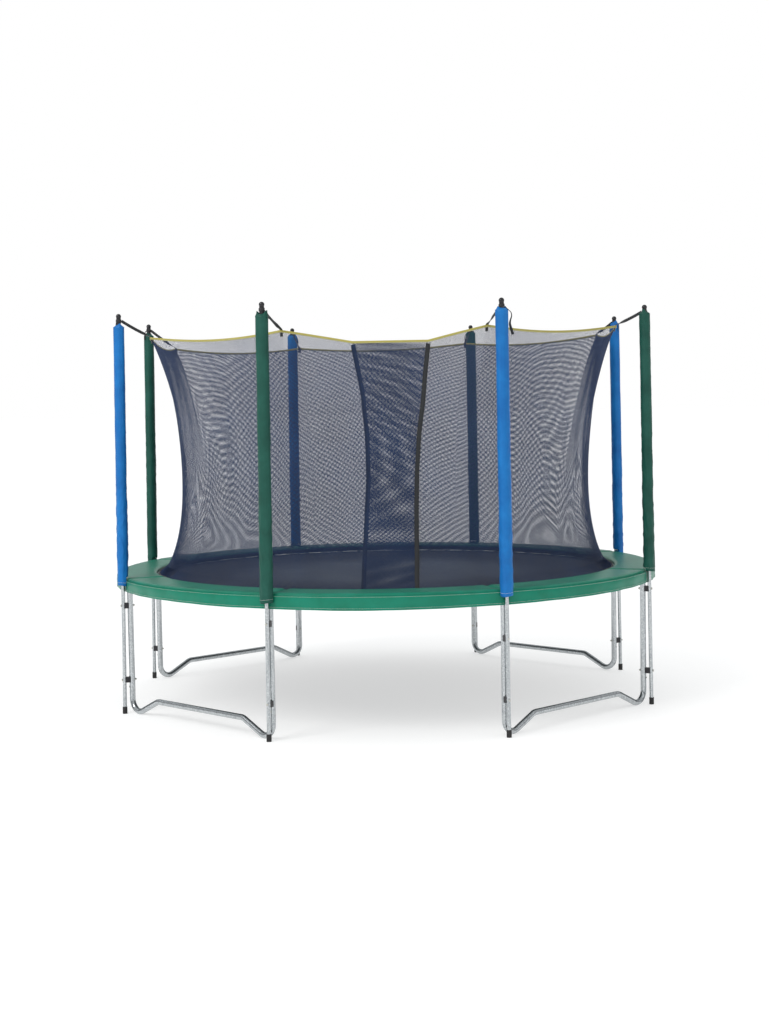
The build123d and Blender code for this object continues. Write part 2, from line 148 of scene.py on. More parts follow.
# a colour Mix takes its factor at input 0 and its colours at inputs 6 and 7, and gives output 2
def weave(tree, place, spacings, directions):
    # two crossing sets of ridges, each spacing in metres; a wave repeats every 2 pi / 20 of its scale
    ridges = []
    for spacing, direction in zip(spacings, directions):
        settings = {"wave_type": "BANDS", "bands_direction": direction, "Scale": math.tau / (20 * spacing)}
        ridges.append(addNode(tree, "ShaderNodeTexWave", settings, {"Vector": place}).outputs["Fac"])
    return addNode(tree, "ShaderNodeMath", {"operation": "MULTIPLY"}, {0: ridges[0], 1: ridges[1]}).outputs[0]


def galvanisedTube():
    # hot-dip galvanised steel tube, drawn: zinc crystals 8 mm across under streaks that run along it,
    # which give the eye a mottled grey shine
    material, tree, shader = startMaterial("galvanisedSteel", {"Metallic": 1.0})
    place = addNode(tree, "ShaderNodeTexCoord").outputs["Object"]
    drawn = addNode(tree, "ShaderNodeMapping", {"Scale": (240, 240, 7)}, {"Vector": place}).outputs["Vector"]
    crystals = addNode(tree, "ShaderNodeTexVoronoi", {"Scale": 130.0}, {"Vector": place}).outputs["Distance"]
    streaks = addNode(tree, "ShaderNodeTexNoise", {"Scale": 1.0, "Detail": 4.0},
                      {"Vector": drawn}).outputs["Fac"]
    tone = addNode(tree, "ShaderNodeMix", {"data_type": "FLOAT", "Factor": 0.35},
                   {"A": streaks, "B": crystals}).outputs["Result"]
    share = addNode(tree, "ShaderNodeMapRange", {"From Min": 0.25, "From Max": 0.65}, {"Value": tone})
    colour = addNode(tree, "ShaderNodeMix",
                     {"data_type": "RGBA", 6: hexColour("#84898d"), 7: hexColour("#cbcfd1")},
                     {0: share.outputs["Result"]})
    polish = addNode(tree, "ShaderNodeMapRange",
                     {"From Min": 0.3, "From Max": 0.7, "To Min": 0.16, "To Max": 0.28}, {"Value": streaks})
    relief = addNode(tree, "ShaderNodeBump", {"Strength": 0.06, "Distance": 0.0004}, {"Height": tone})
    tree.links.new(colour.outputs[2], shader.inputs["Base Color"])
    tree.links.new(polish.outputs["Result"], shader.inputs["Roughness"])
    tree.links.new(relief.outputs["Normal"], shader.inputs["Normal"])
    return material


def zincPlated():
    # bright zinc-plated screws, springs and rings: cool silver with a faint warm bloom
    material, tree, shader = startMaterial("zincPlatedSteel", {"Metallic": 1.0})
    place = addNode(tree, "ShaderNodeTexCoord").outputs["Object"]
    bloom = addNode(tree, "ShaderNodeTexNoise", {"Scale": 60.0, "Detail": 3.0},
                    {"Vector": place}).outputs["Fac"]
    colour = addNode(tree, "ShaderNodeMix",
                     {"data_type": "RGBA", 6: hexColour("#c9ccd0"), 7: hexColour("#b9b49f")}, {0: bloom})
    polish = addNode(tree, "ShaderNodeMapRange",
                     {"From Min": 0.3, "From Max": 0.7, "To Min": 0.22, "To Max": 0.38}, {"Value": bloom})
    tree.links.new(colour.outputs[2], shader.inputs["Base Color"])
    tree.links.new(polish.outputs["Result"], shader.inputs["Roughness"])
    return material


def coatedCloth(name, low, high, roughness, spacing, second="Z"):
    # polyester cloth with a thin plastic coat: a soft shine, and the weave shows through as a fine grain;
    # its threads are 0.5 mm apart, and are drawn at 2 to 4 mm so that they show
    material, tree, shader = startMaterial(name, {"Roughness": roughness, "IOR": 1.5,
                                                  "Specular IOR Level": 0.25,
                                                  "Sheen Weight": 0.03, "Sheen Roughness": 0.5})
    place = addNode(tree, "ShaderNodeTexCoord").outputs["Object"]
    fade = addNode(tree, "ShaderNodeTexNoise", {"Scale": 7.0, "Detail": 5.0, "Roughness": 0.6},
                   {"Vector": place}).outputs["Fac"]
    share = addNode(tree, "ShaderNodeMapRange", {"From Min": 0.3, "From Max": 0.7}, {"Value": fade})
    colour = addNode(tree, "ShaderNodeMix", {"data_type": "RGBA", 6: hexColour(low), 7: hexColour(high)},
                     {0: share.outputs["Result"]})
    grain = weave(tree, place, (spacing, spacing), ("X", second))
    relief = addNode(tree, "ShaderNodeBump", {"Strength": 0.22, "Distance": 0.0004}, {"Height": grain})
    tree.links.new(colour.outputs[2], shader.inputs["Base Color"])
    tree.links.new(relief.outputs["Normal"], shader.inputs["Normal"])
    return material


def wovenMat():
    # black woven polypropylene, matt, with random dusty patches and painted shade: paler in the middle where
    # light falls through the open top, darker towards the rim where the net wall's shadow falls; its threads
    # are 1 mm apart, and are drawn at 5 mm so that they show
    material, tree, shader = startMaterial("wovenPolypropylene", {"Roughness": 0.55, "IOR": 1.49})
    place = addNode(tree, "ShaderNodeTexCoord").outputs["Object"]
    fromMiddle = addNode(tree, "ShaderNodeVectorMath", {"operation": "LENGTH"}, {0: place}).outputs["Value"]
    dust = addNode(tree, "ShaderNodeTexNoise", {"Scale": 2.2, "Detail": 6.0}, {"Vector": place})
    # painted shade: 1 in the middle and 0.15 at the rim, so the mat is drawn darker where the net wall's
    # shadow falls
    paintedNetShadow = addNode(tree, "ShaderNodeMapRange",
                   {"From Min": 1.05, "From Max": 1.40, "To Min": 1.0, "To Max": 0.15}, {"Value": fromMiddle})
    dusty = addNode(tree, "ShaderNodeMapRange",
                    {"From Min": 0.3, "From Max": 0.7, "To Min": 0.65, "To Max": 1.0},
                    {"Value": dust.outputs["Fac"]})
    # the painted shade of the net wall, times the random dusty patches
    shadeAndDust = addNode(tree, "ShaderNodeMath", {"operation": "MULTIPLY"},
                   {0: paintedNetShadow.outputs["Result"], 1: dusty.outputs["Result"]})
    colour = addNode(tree, "ShaderNodeMix",
                     {"data_type": "RGBA", 6: hexColour("#191b1e"), 7: hexColour("#656b6f")},
                     {0: shadeAndDust.outputs[0]})
    grain = weave(tree, place, (0.005, 0.005), ("X", "Y"))
    relief = addNode(tree, "ShaderNodeBump", {"Strength": 0.5, "Distance": 0.0008}, {"Height": grain})
    tree.links.new(colour.outputs[2], shader.inputs["Base Color"])
    tree.links.new(relief.outputs["Normal"], shader.inputs["Normal"])
    return material


def webbing(name, low, high, rib=0.003):
    # woven polypropylene webbing: matt, with ribs across its length, read from the piece's own UV map,
    # where u runs over the tape and v along it
    material, tree, shader = startMaterial(name, {"Roughness": 0.62, "IOR": 1.5, "Sheen Weight": 0.2})
    place = addNode(tree, "ShaderNodeUVMap", {"uv_map": "tape"}).outputs["UV"]
    grain = weave(tree, place, (rib, rib * 1.4), ("Y", "X"))
    colour = addNode(tree, "ShaderNodeMix",
                     {"data_type": "RGBA", 6: hexColour(low), 7: hexColour(high)}, {0: grain})
    relief = addNode(tree, "ShaderNodeBump", {"Strength": 0.4, "Distance": 0.0006}, {"Height": grain})
    tree.links.new(colour.outputs[2], shader.inputs["Base Color"])
    tree.links.new(relief.outputs["Normal"], shader.inputs["Normal"])
    return material


def moulded(name, low, high, roughness, grain, depth):
    # plastic, rubber, foam or twisted thread: an even colour with a fine grain, whose size is in metres
    material, tree, shader = startMaterial(name, {"IOR": 1.5})
    place = addNode(tree, "ShaderNodeTexCoord").outputs["Object"]
    skin = addNode(tree, "ShaderNodeTexNoise", {"Scale": 1 / grain, "Detail": 3.0},
                   {"Vector": place}).outputs["Fac"]
    colour = addNode(tree, "ShaderNodeMix",
                     {"data_type": "RGBA", 6: hexColour(low), 7: hexColour(high)}, {0: skin})
    dull = {"From Min": 0.3, "From Max": 0.7, "To Min": roughness - 0.06, "To Max": roughness + 0.06}
    polish = addNode(tree, "ShaderNodeMapRange", dull, {"Value": skin})
    relief = addNode(tree, "ShaderNodeBump", {"Strength": 0.25, "Distance": depth}, {"Height": skin})
    tree.links.new(colour.outputs[2], shader.inputs["Base Color"])
    tree.links.new(polish.outputs["Result"], shader.inputs["Roughness"])
    tree.links.new(relief.outputs["Normal"], shader.inputs["Normal"])
    return material


def netThread():
    # knotless polyethylene net: dark blue-grey and slightly glossy, a little uneven from thread to thread
    material, tree, shader = startMaterial("polyethyleneNet", {"Roughness": 0.5, "IOR": 1.5})
    place = addNode(tree, "ShaderNodeTexCoord").outputs["Object"]
    tint = addNode(tree, "ShaderNodeTexNoise", {"Scale": 3.0, "Detail": 2.0}, {"Vector": place})
    colour = addNode(tree, "ShaderNodeMix",
                     {"data_type": "RGBA", 6: hexColour("#0c1f42"), 7: hexColour("#173560")},
                     {0: tint.outputs["Fac"]})
    tree.links.new(colour.outputs[2], shader.inputs["Base Color"])
    return material


steel = galvanisedTube()
zinc = zincPlated()
blueCloth = coatedCloth("blueCoatedCloth", "#065a9e", "#0f6fb4", 0.46, 0.0022)
greenCloth = coatedCloth("greenCoatedCloth", "#0d4137", "#195246", 0.46, 0.0022)
padVinyl = coatedCloth("greenVinyl", "#076b52", "#0e7a62", 0.36, 0.0035, "Y")
backingSheet = coatedCloth("wovenBackingSheet", "#9aa2a3", "#b9c0c0", 0.6, 0.004, "Y")
matCloth = wovenMat()
blackTape = webbing("blackWebbing", "#0c0d10", "#24262b")
yellowTape = webbing("yellowBinding", "#8d8438", "#c4ba5c", 0.0025)
rubber = moulded("blackRubber", "#141414", "#202021", 0.6, 0.004, 0.0004)
plastic = moulded("blackMouldedPlastic", "#121217", "#1d1d22", 0.32, 0.003, 0.0002)
foam = moulded("closedCellFoam", "#c9cbc6", "#e2e3df", 0.8, 0.003, 0.0008)
thread = moulded("sewingThread", "#b7bbb4", "#d8dad4", 0.6, 0.002, 0.0001)
darkThread = moulded("darkSewingThread", "#15161a", "#26282e", 0.6, 0.002, 0.0001)
mesh = netThread()
print("materials made")



# a part is points, faces and each face's UV corners, gathered before it becomes a piece
def gridPart(rows, closedRound=False, closedAlong=False, capped=False, across=None):
    count, width = len(rows), len(rows[0])
    points = [tuple(point) for row in rows for point in row]
    faces, corners = [], []
    travelled = [0.0]
    for i in range(count):
        travelled.append(travelled[-1] + (Vector(rows[(i + 1) % count][0]) - Vector(rows[i][0])).length)
    across = across or [float(j) for j in range(width + 1)]
    for i in range(count if closedAlong else count - 1):
        for j in range(width if closedRound else width - 1):
            a, b = i, (i + 1) % count
            c, d = j, (j + 1) % width
            faces.append((a * width + c, a * width + d, b * width + d, b * width + c))
            near, far = travelled[i], travelled[i + 1]
            corners.append([(across[j], near), (across[j + 1], near), (across[j + 1], far), (across[j], far)])
    if capped:
        for row, order in ((0, range(width - 1, -1, -1)), (count - 1, range(width))):
            faces.append(tuple(row * width + j for j in order))
            corners.append([(0.0, 0.0)] * width)
    return points, faces, corners


def joinParts(parts):
    points, faces, corners = [], [], []
    for morePoints, moreFaces, moreCorners in parts:
        start = len(points)
        points += morePoints
        faces += [tuple(start + k for k in face) for face in moreFaces]
        corners += moreCorners
    return points, faces, corners


def insideOut(data):
    volume = 0.0
    data.calc_loop_triangles()
    for triangle in data.loop_triangles:
        a, b, c = (data.vertices[k].co for k in triangle.vertices)
        volume += a.dot(b.cross(c))
    return volume < 0


def makePiece(name, part, material, closed=True, shaded=True):
    points, faces, corners = part
    data = bpy.data.meshes.new(name)
    data.from_pydata(points, [], faces)
    layer = data.uv_layers.new(name="tape")
    flat = [value for face in corners for corner in face for value in corner]
    layer.data.foreach_set("uv", flat)
    data.materials.append(material)
    if closed and insideOut(data):
        data.flip_normals()
    if shaded:
        data.polygons.foreach_set("use_smooth", [True] * len(data.polygons))
    piece = bpy.data.objects.new(name, data)
    bpy.context.scene.collection.objects.link(piece)
    return piece


def applyModifiers(piece):
    # the shape that the modifiers give becomes the piece's own plain mesh
    bpy.context.view_layer.update()
    shown = bpy.context.evaluated_depsgraph_get()
    data = bpy.data.meshes.new_from_object(piece.evaluated_get(shown), preserve_all_data_layers=True,
                                           depsgraph=shown)
    piece.modifiers.clear()
    piece.data = data
    return data


def thicken(piece, thickness):
    modifier = piece.modifiers.new("clothThickness", "SOLIDIFY")
    modifier.thickness = thickness
    modifier.offset = 0
    data = applyModifiers(piece)
    if insideOut(data):
        data.flip_normals()


def sharpen(piece, angle=35):
    piece.data.set_sharp_from_angle(angle=math.radians(angle))


# the section of a tape: a flat oblong with soft edges, across its width and through its thickness
tapeSection = [(-0.5, -0.25), (-0.5, 0.25), (-0.46, 0.5), (0.0, 0.5), (0.46, 0.5),
               (0.5, 0.25), (0.5, -0.25), (0.46, -0.5), (0.0, -0.5), (-0.46, -0.5)]


def tapePart(path, over, width, thickness, closed=False):
    rows = []
    count = len(path)
    for i, point in enumerate(path):
        before = path[i - 1] if i or closed else path[i]
        after = path[(i + 1) % count] if i < count - 1 or closed else path[i]
        tangent = (after - before).normalized()
        side = (over[i] - tangent * over[i].dot(tangent)).normalized()
        face = tangent.cross(side)
        wide = width[i] if isinstance(width, list) else width
        rows.append([point + side * x * wide + face * y * thickness for x, y in tapeSection])
    steps = [0.0]
    for (x, y), (nextX, nextY) in zip(tapeSection, tapeSection[1:] + tapeSection[:1]):
        reach = width[0] if isinstance(width, list) else width
        steps.append(steps[-1] + math.hypot((nextX - x) * reach, (nextY - y) * thickness))
    return gridPart(rows, True, closed, not closed, steps)


def curveThrough(points, count):
    # a smooth line through a few points, each span a Catmull-Rom curve
    ends = [points[0] * 2 - points[1], *points, points[-1] * 2 - points[-2]]
    line = []
    for i in range(count):
        where = i / (count - 1) * (len(points) - 1)
        span = min(int(where), len(points) - 2)
        t = where - span
        a, b, c, d = ends[span:span + 4]
        line.append(0.5 * (2 * b + (c - a) * t + (2 * a - 5 * b + 4 * c - d) * t * t
                           + (3 * b - 3 * c + d - a) * t * t * t))
    return line


def newTree(name, inputs):
    tree = bpy.data.node_groups.new(name, "GeometryNodeTree")
    tree.interface.new_socket(name="Geometry", in_out="OUTPUT", socket_type="NodeSocketGeometry")
    tree.interface.new_socket(name="Geometry", in_out="INPUT", socket_type="NodeSocketGeometry")
    for label, kind in inputs.items():
        tree.interface.new_socket(name=label, in_out="INPUT", socket_type=kind)
    return tree, addNode(tree, "NodeGroupInput").outputs


def endTree(tree, geometry, material):
    soft = addNode(tree, "GeometryNodeSetShadeSmooth", {}, {"Geometry": geometry})
    real = addNode(tree, "GeometryNodeRealizeInstances", {}, {"Geometry": soft.outputs[0]})
    painted = addNode(tree, "GeometryNodeSetMaterial", {},
                      {"Geometry": real.outputs[0], "Material": material})
    addNode(tree, "NodeGroupOutput", {}, {"Geometry": painted.outputs[0]})


def runTree(name, tree, points, edges, settings, attributes=None):
    # a carrier mesh of points and edges goes in, and the finished plain mesh comes out
    data = bpy.data.meshes.new(name)
    data.from_pydata(points, edges, [])
    for label, values in (attributes or {}).items():
        layer = data.attributes.new(label, "FLOAT_VECTOR", "POINT")
        layer.data.foreach_set("vector", [value for point in values for value in point])
    piece = bpy.data.objects.new(name, data)
    bpy.context.scene.collection.objects.link(piece)
    modifier = piece.modifiers.new(tree.name, "NODES")
    modifier.node_group = tree
    for socket in tree.interface.items_tree:
        if socket.in_out == "INPUT" and socket.name in settings:
            modifier[socket.identifier] = settings[socket.name]
    made = applyModifiers(piece)
    if insideOut(made):
        made.flip_normals()
    return piece


def strandTree():
    # every line of edges becomes a flat strand with closed ends, lying along its carrier's facing
    inputs = {"Strand radius": "NodeSocketFloat", "Flatness": "NodeSocketFloat",
              "Material": "NodeSocketMaterial"}
    tree, given = newTree("strands", inputs)
    lines = addNode(tree, "GeometryNodeMeshToCurve", {}, {"Mesh": given["Geometry"]})
    facing = addNode(tree, "GeometryNodeInputNamedAttribute", {"data_type": "FLOAT_VECTOR", "Name": "facing"})
    turned = addNode(tree, "GeometryNodeSetCurveNormal", {"mode": "FREE"},
                     {"Curve": lines.outputs[0], "Normal": facing.outputs["Attribute"]})
    profile = addNode(tree, "GeometryNodeCurvePrimitiveCircle", {"mode": "RADIUS", "Resolution": 4},
                      {"Radius": given["Strand radius"]})
    squeeze = addNode(tree, "ShaderNodeCombineXYZ", {"Y": 1.0, "Z": 1.0}, {"X": given["Flatness"]})
    section = addNode(tree, "GeometryNodeTransform", {},
                      {"Geometry": profile.outputs[0], "Scale": squeeze.outputs[0]})
    tube = addNode(tree, "GeometryNodeCurveToMesh", {"Fill Caps": True},
                   {"Curve": turned.outputs[0], "Profile Curve": section.outputs[0]})
    endTree(tree, tube.outputs[0], given["Material"])
    return tree


def stitchTree():
    # a row of lock stitches along every line of edges
    inputs = {"Pitch": "NodeSocketFloat", "Stitch length": "NodeSocketFloat",
              "Thread radius": "NodeSocketFloat", "Material": "NodeSocketMaterial"}
    tree, given = newTree("stitches", inputs)
    lines = addNode(tree, "GeometryNodeMeshToCurve", {}, {"Mesh": given["Geometry"]})
    places = addNode(tree, "GeometryNodeCurveToPoints", {"mode": "LENGTH"},
                     {"Curve": lines.outputs[0], "Length": given["Pitch"]})
    stitch = addNode(tree, "GeometryNodeMeshCylinder", {"Vertices": 5, "Side Segments": 1},
                     {"Radius": given["Thread radius"], "Depth": given["Stitch length"]})
    rows = addNode(tree, "GeometryNodeInstanceOnPoints", {},
                   {"Points": places.outputs["Points"], "Instance": stitch.outputs["Mesh"],
                    "Rotation": places.outputs["Rotation"]})
    endTree(tree, rows.outputs[0], given["Material"])
    return tree


strands = strandTree()
stitches = stitchTree()


def linesOf(paths, closed=False):
    points, edges = [], []
    for path in paths:
        start = len(points)
        points += [tuple(point) for point in path]
        edges += [(start + k, start + k + 1) for k in range(len(path) - 1)]
        if closed:
            edges.append((start + len(path) - 1, start))
    return points, edges


def sew(name, paths, material, body, pitch=0.008, length=0.0055, radius=0.0007, closed=False):
    points, edges = linesOf(paths, closed)
    settings = {"Pitch": pitch, "Stitch length": length, "Thread radius": radius, "Material": material}
    piece = runTree(name, stitches, points, edges, settings)
    if body:
        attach(piece, body)
    return piece


print("mesh tools ready")

# the net wall: corners are where each strap holds the rim, one for each post (radius, height)
net = {
    "corners": [(1.645, 2.445), (1.648, 2.467), (1.690, 2.462), (1.710, 2.450),
                (1.680, 2.433), (1.618, 2.412), (1.630, 2.443), (1.585, 2.437)],
    "sag": 0.035,
    "doorHeight": 2.362,
    "waistMiddle": 0.151,
    "waistCorner": 0.182,
    "waistRise": 0.55,  # the waist starts low and opens slowly towards the rim
    "waistFall": 0.85,
    # the doorway's two edges, as (share of the height, azimuth)
    "doorLeft": [(0.0, -5.3), (0.12, -5.25), (0.28, -4.75), (0.45, -4.1), (0.61, -4.2), (0.77, -4.9),
                 (1.0, -6.9)],
    "doorRight": [(0.0, 6.9), (0.12, 7.5), (0.28, 7.8), (0.45, 8.15), (0.61, 8.7), (0.77, 9.7),
                  (1.0, 10.4)],
    "flapSpread": 0.005,
    "cell": 0.0080,  # from one crossing to the next, as knitted
    "threadRadius": 0.00103,
    "flatness": 0.45,  # its threads are flat tapes that lie in the wall
    "stepLength": 0.08,  # of the straight runs that a thread is made of
    "footLap": 0.012,  # how far the threads go down behind the hem
    "postGap": 0.001,  # in degrees, between two bays
    "rimLap": 14,  # the door layers come together over the top fourteenth of the wall
    "sway": 0.011,  # how far the wall wanders in and out
    "swayAcross": 6.5,
    "swayUp": 1.3,
}


def onLine(rows, share):
    for (a, low), (b, high) in zip(rows, rows[1:]):
        if share <= b:
            return mix(low, high, gentleStep((share - a) / (b - a)))
    return rows[-1][1]


def gentleStep(t):
    # mostly linear and a little eased, so that the line bends gently at each of its rows
    return 0.7 * t + 0.3 * t * t * (3 - 2 * t)


def bayOf(azimuth):
    number = round(azimuth / bayAngle)
    offset = azimuth - bayAngle * number
    return number % postCount, offset


def rimRadius(azimuth):
    number, offset = bayOf(azimuth)
    left, right = net["corners"][number - 1][0], net["corners"][number][0]
    half = bayAngle / 2
    turn = [math.radians(a) for a in (bayAngle, offset + half, half - offset)]
    return left * right * math.sin(turn[0]) / (left * math.sin(turn[1]) + right * math.sin(turn[2]))


def rimHeight(azimuth):
    number, offset = bayOf(azimuth)
    left, right = net["corners"][number - 1][1], net["corners"][number][1]
    share = offset / bayAngle + 0.5
    if number:
        return mix(left, right, share) - net["sag"] * 4 * share * (1 - share)
    doorLeft, doorRight = net["doorLeft"][-1][1], net["doorRight"][-1][1]
    if offset < doorLeft:
        return mix(left, net["doorHeight"], (offset + bayAngle / 2) / (doorLeft + bayAngle / 2))
    if offset > doorRight:
        return mix(right, net["doorHeight"], (bayAngle / 2 - offset) / (bayAngle / 2 - doorRight))
    return net["doorHeight"]


def wallPoint(azimuth, share, standOff=0.0):
    # a point on the net wall, share 0 at the hem and 1 at the rim
    number, offset = bayOf(azimuth)
    half = math.radians(bayAngle / 2)
    bulge = (1 / math.cos(math.radians(offset)) - 1) / (1 / math.cos(half) - 1)
    rise, fall = net["waistRise"], net["waistFall"]
    peak = rise / (rise + fall)
    shape = share ** rise * (1 - share) ** fall / (peak ** rise * (1 - peak) ** fall)
    waist = mix(net["waistMiddle"], net["waistCorner"], bulge) * shape
    radius = mix(hemRadius, rimRadius(azimuth), share) - waist + standOff
    height = mix(hemTop - net["footLap"], rimHeight(azimuth), share)
    place = polar(radius, azimuth, height)
    across, up = net["swayAcross"], net["swayUp"]
    wander = noise.noise(Vector((place.x * across, place.y * across, place.z * up)))
    return place + polar(wander * net["sway"] * math.sin(math.pi * share) ** 0.7, azimuth)


def netLines(leftEdge, rightEdge, standOffs):
    # two slanting families of threads over a panel whose edges are azimuths at a share of the height
    middle = (wallPoint(leftEdge(0.5), 0.5) - wallPoint(rightEdge(0.5), 0.5)).length
    lower = (wallPoint(leftEdge(0.0), 0.0) - wallPoint(rightEdge(0.0), 0.0)).length
    columns = round((middle + lower) / 2 / net["cell"])
    rows = round((rimHeight(leftEdge(0.9)) - hemTop) / net["cell"])
    paths = []
    for slant in (1, -1):
        for k in range(1, columns + rows):
            # the thread runs from (x0, y0) for as long as it stays in the panel
            x0, y0 = (max(0, k - rows), min(k, rows)) if slant > 0 else (max(0, k - rows), max(0, rows - k))
            run = min(columns - x0, y0 if slant > 0 else rows - y0)
            steps = max(1, math.ceil(run * net["cell"] * math.sqrt(2) / net["stepLength"]))
            path = []
            for i in range(steps + 1):
                x, y = x0 + run * i / steps, y0 - slant * run * i / steps
                share = y / rows
                azimuth = mix(leftEdge(share), rightEdge(share), x / columns)
                apart = mix(*standOffs, x / columns) * smooth((1 - share) * net["rimLap"])
                path.append(wallPoint(azimuth, share, apart))
            paths.append(path)
    return paths


def netPiece(name, leftEdge, rightEdge, standOffs):
    points, edges = linesOf(netLines(leftEdge, rightEdge, standOffs))
    settings = {"Strand radius": net["threadRadius"], "Flatness": net["flatness"], "Material": mesh}
    outwards = [tuple(Vector((x, y, 0)).normalized()) for x, y, z in points]
    return runTree(name, strands, points, edges, settings, {"facing": outwards})


def panelSize(leftEdge, rightEdge):
    # the mean width at five heights, and the length down one edge, over every fold
    shares = (0.0, 0.25, 0.5, 0.75, 1.0)
    sides = [(wallPoint(leftEdge(share), share), wallPoint(rightEdge(share), share)) for share in shares]
    wide = sum((left - right).length for left, right in sides) / len(shares)
    down = [wallPoint(leftEdge(0.5), i / 20) for i in range(21)]
    return wide, sum((a - b).length for a, b in zip(down, down[1:]))


for number in range(1, postCount):
    start, stop = bayAngle * (number - 0.5), bayAngle * (number + 0.5)
    edges = (lambda share, a=start: a + net["postGap"]), (lambda share, a=stop: a - net["postGap"])
    piece = netPiece(f"net_wall_{number}", *edges, (0, 0))
    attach(piece, "frame")
    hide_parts(f"net_panel_{number}")
    panelSize(*edges)

doorRadius = 1.45  # the net's mean distance from the middle at the doorway
# each door layer: its piece, CAD node, body, two edges, stand-offs at them, and its fixed and free azimuths
flaps = [
    ("net_door_outer", "net_flap_outer", "flap_outer", lambda share: -bayAngle / 2 + net["postGap"],
     lambda share: onLine(net["doorRight"], share), (0, net["flapSpread"]), (-22, 8)),
    ("net_door_inner", "net_flap_inner", "flap_inner", lambda share: onLine(net["doorLeft"], share),
     lambda share: bayAngle / 2 - net["postGap"], (-net["flapSpread"], 0), (22, -5)),
]
for name, node, body, leftEdge, rightEdge, standOffs, (fixed, free) in flaps:
    piece = netPiece(name, leftEdge, rightEdge, standOffs)
    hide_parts(node)
    panelSize(leftEdge, rightEdge)
    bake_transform(piece)
print("net made")

# the yellow binding round the top of the net, the black hem at its foot and the doorway's edge tapes
trim = {
    "rimHeight": 0.015,
    "rimThickness": 0.0042,
    "rimStep": 1.5,  # in degrees
    "rimDrop": 0.003,
    "rimStitchDrop": 0.008,
    "hemThickness": 0.0032,
    "bandWidth": 0.028,
    "bandThickness": 0.0022,
    "bandOff": 0.0035,
    "bandSteps": 48,
    "bandEnds": (0.003, 0.988),
    "stitchInset": 0.0035,
    "hemPulls": 36,  # the elastic hooks pull the hem into small waves
    "hemSwell": 0.002,
    "hemDip": 0.0015,
}


def rimAzimuths():
    steps = round(360 / trim["rimStep"])
    plain = [trim["rimStep"] * i for i in range(steps)]
    doorway = [net["doorLeft"][-1][1] % 360, net["doorRight"][-1][1]]
    return sorted(set(plain + doorway))


def upright(count):
    return [Vector((0, 0, 1))] * count


azimuths = rimAzimuths()
line = [wallPoint(a, 1.0) - Vector((0, 0, trim["rimDrop"])) for a in azimuths]
binding = tapePart(line, upright(len(line)), trim["rimHeight"], trim["rimThickness"], True)
piece = makePiece("net_rim_binding", binding, yellowTape)
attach(piece, "frame")
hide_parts("net_rim")
drop = Vector((0, 0, trim["rimStitchDrop"]))
rows = [[wallPoint(a, 1.0, trim["rimThickness"] / 2) - drop for a in azimuths]]
sew("rim_stitching", rows, thread, "frame", closed=True)

line = []
for azimuth in [trim["rimStep"] * i for i in range(round(360 / trim["rimStep"]))]:
    swell = trim["hemSwell"] * math.sin(math.radians(azimuth * trim["hemPulls"] - 90))
    dip = trim["hemDip"] * math.cos(math.radians(azimuth * trim["hemPulls"]))
    line.append(polar(hemRadius + swell, azimuth, mix(hemBottom, hemTop, 0.5) + dip))
hem = tapePart(line, upright(len(line)), hemTop - hemBottom, trim["hemThickness"], True)
piece = makePiece("net_hem_webbing", hem, blackTape)
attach(piece, "frame")
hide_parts("net_hem")


def bandPath(edge, standOff, shift=0.0):
    shares = [mix(*trim["bandEnds"], i / trim["bandSteps"]) for i in range(trim["bandSteps"] + 1)]
    return [wallPoint(edge(share) + shift, share, standOff) for share in shares]


# each band: its piece, CAD node, body, edge, outward side, and how far it stands off the wall
bands = [
    ("door_edge_outer", "door_band_outer", "flap_outer", lambda share: onLine(net["doorRight"], share), 1,
     net["flapSpread"] + trim["bandOff"]),
    ("door_edge_inner", "door_band_inner", "flap_inner", lambda share: onLine(net["doorLeft"], share), -1,
     -net["flapSpread"] - trim["bandOff"]),
]
for name, node, body, edge, side, off in bands:
    path = bandPath(edge, off)
    across = [polar(1, edge(i / trim["bandSteps"]) + 90) for i in range(trim["bandSteps"] + 1)]
    piece = makePiece(name, tapePart(path, across, trim["bandWidth"], trim["bandThickness"]), blackTape)
    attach(piece, body)
    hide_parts(node)
    reach = math.degrees((trim["bandWidth"] / 2 - trim["stitchInset"]) / doorRadius)
    surface = off + side * trim["bandThickness"] / 2
    rows = [bandPath(edge, surface, -reach), bandPath(edge, surface, reach)]
    sew(name + "_stitching", rows, darkThread, body)
print("net bound")

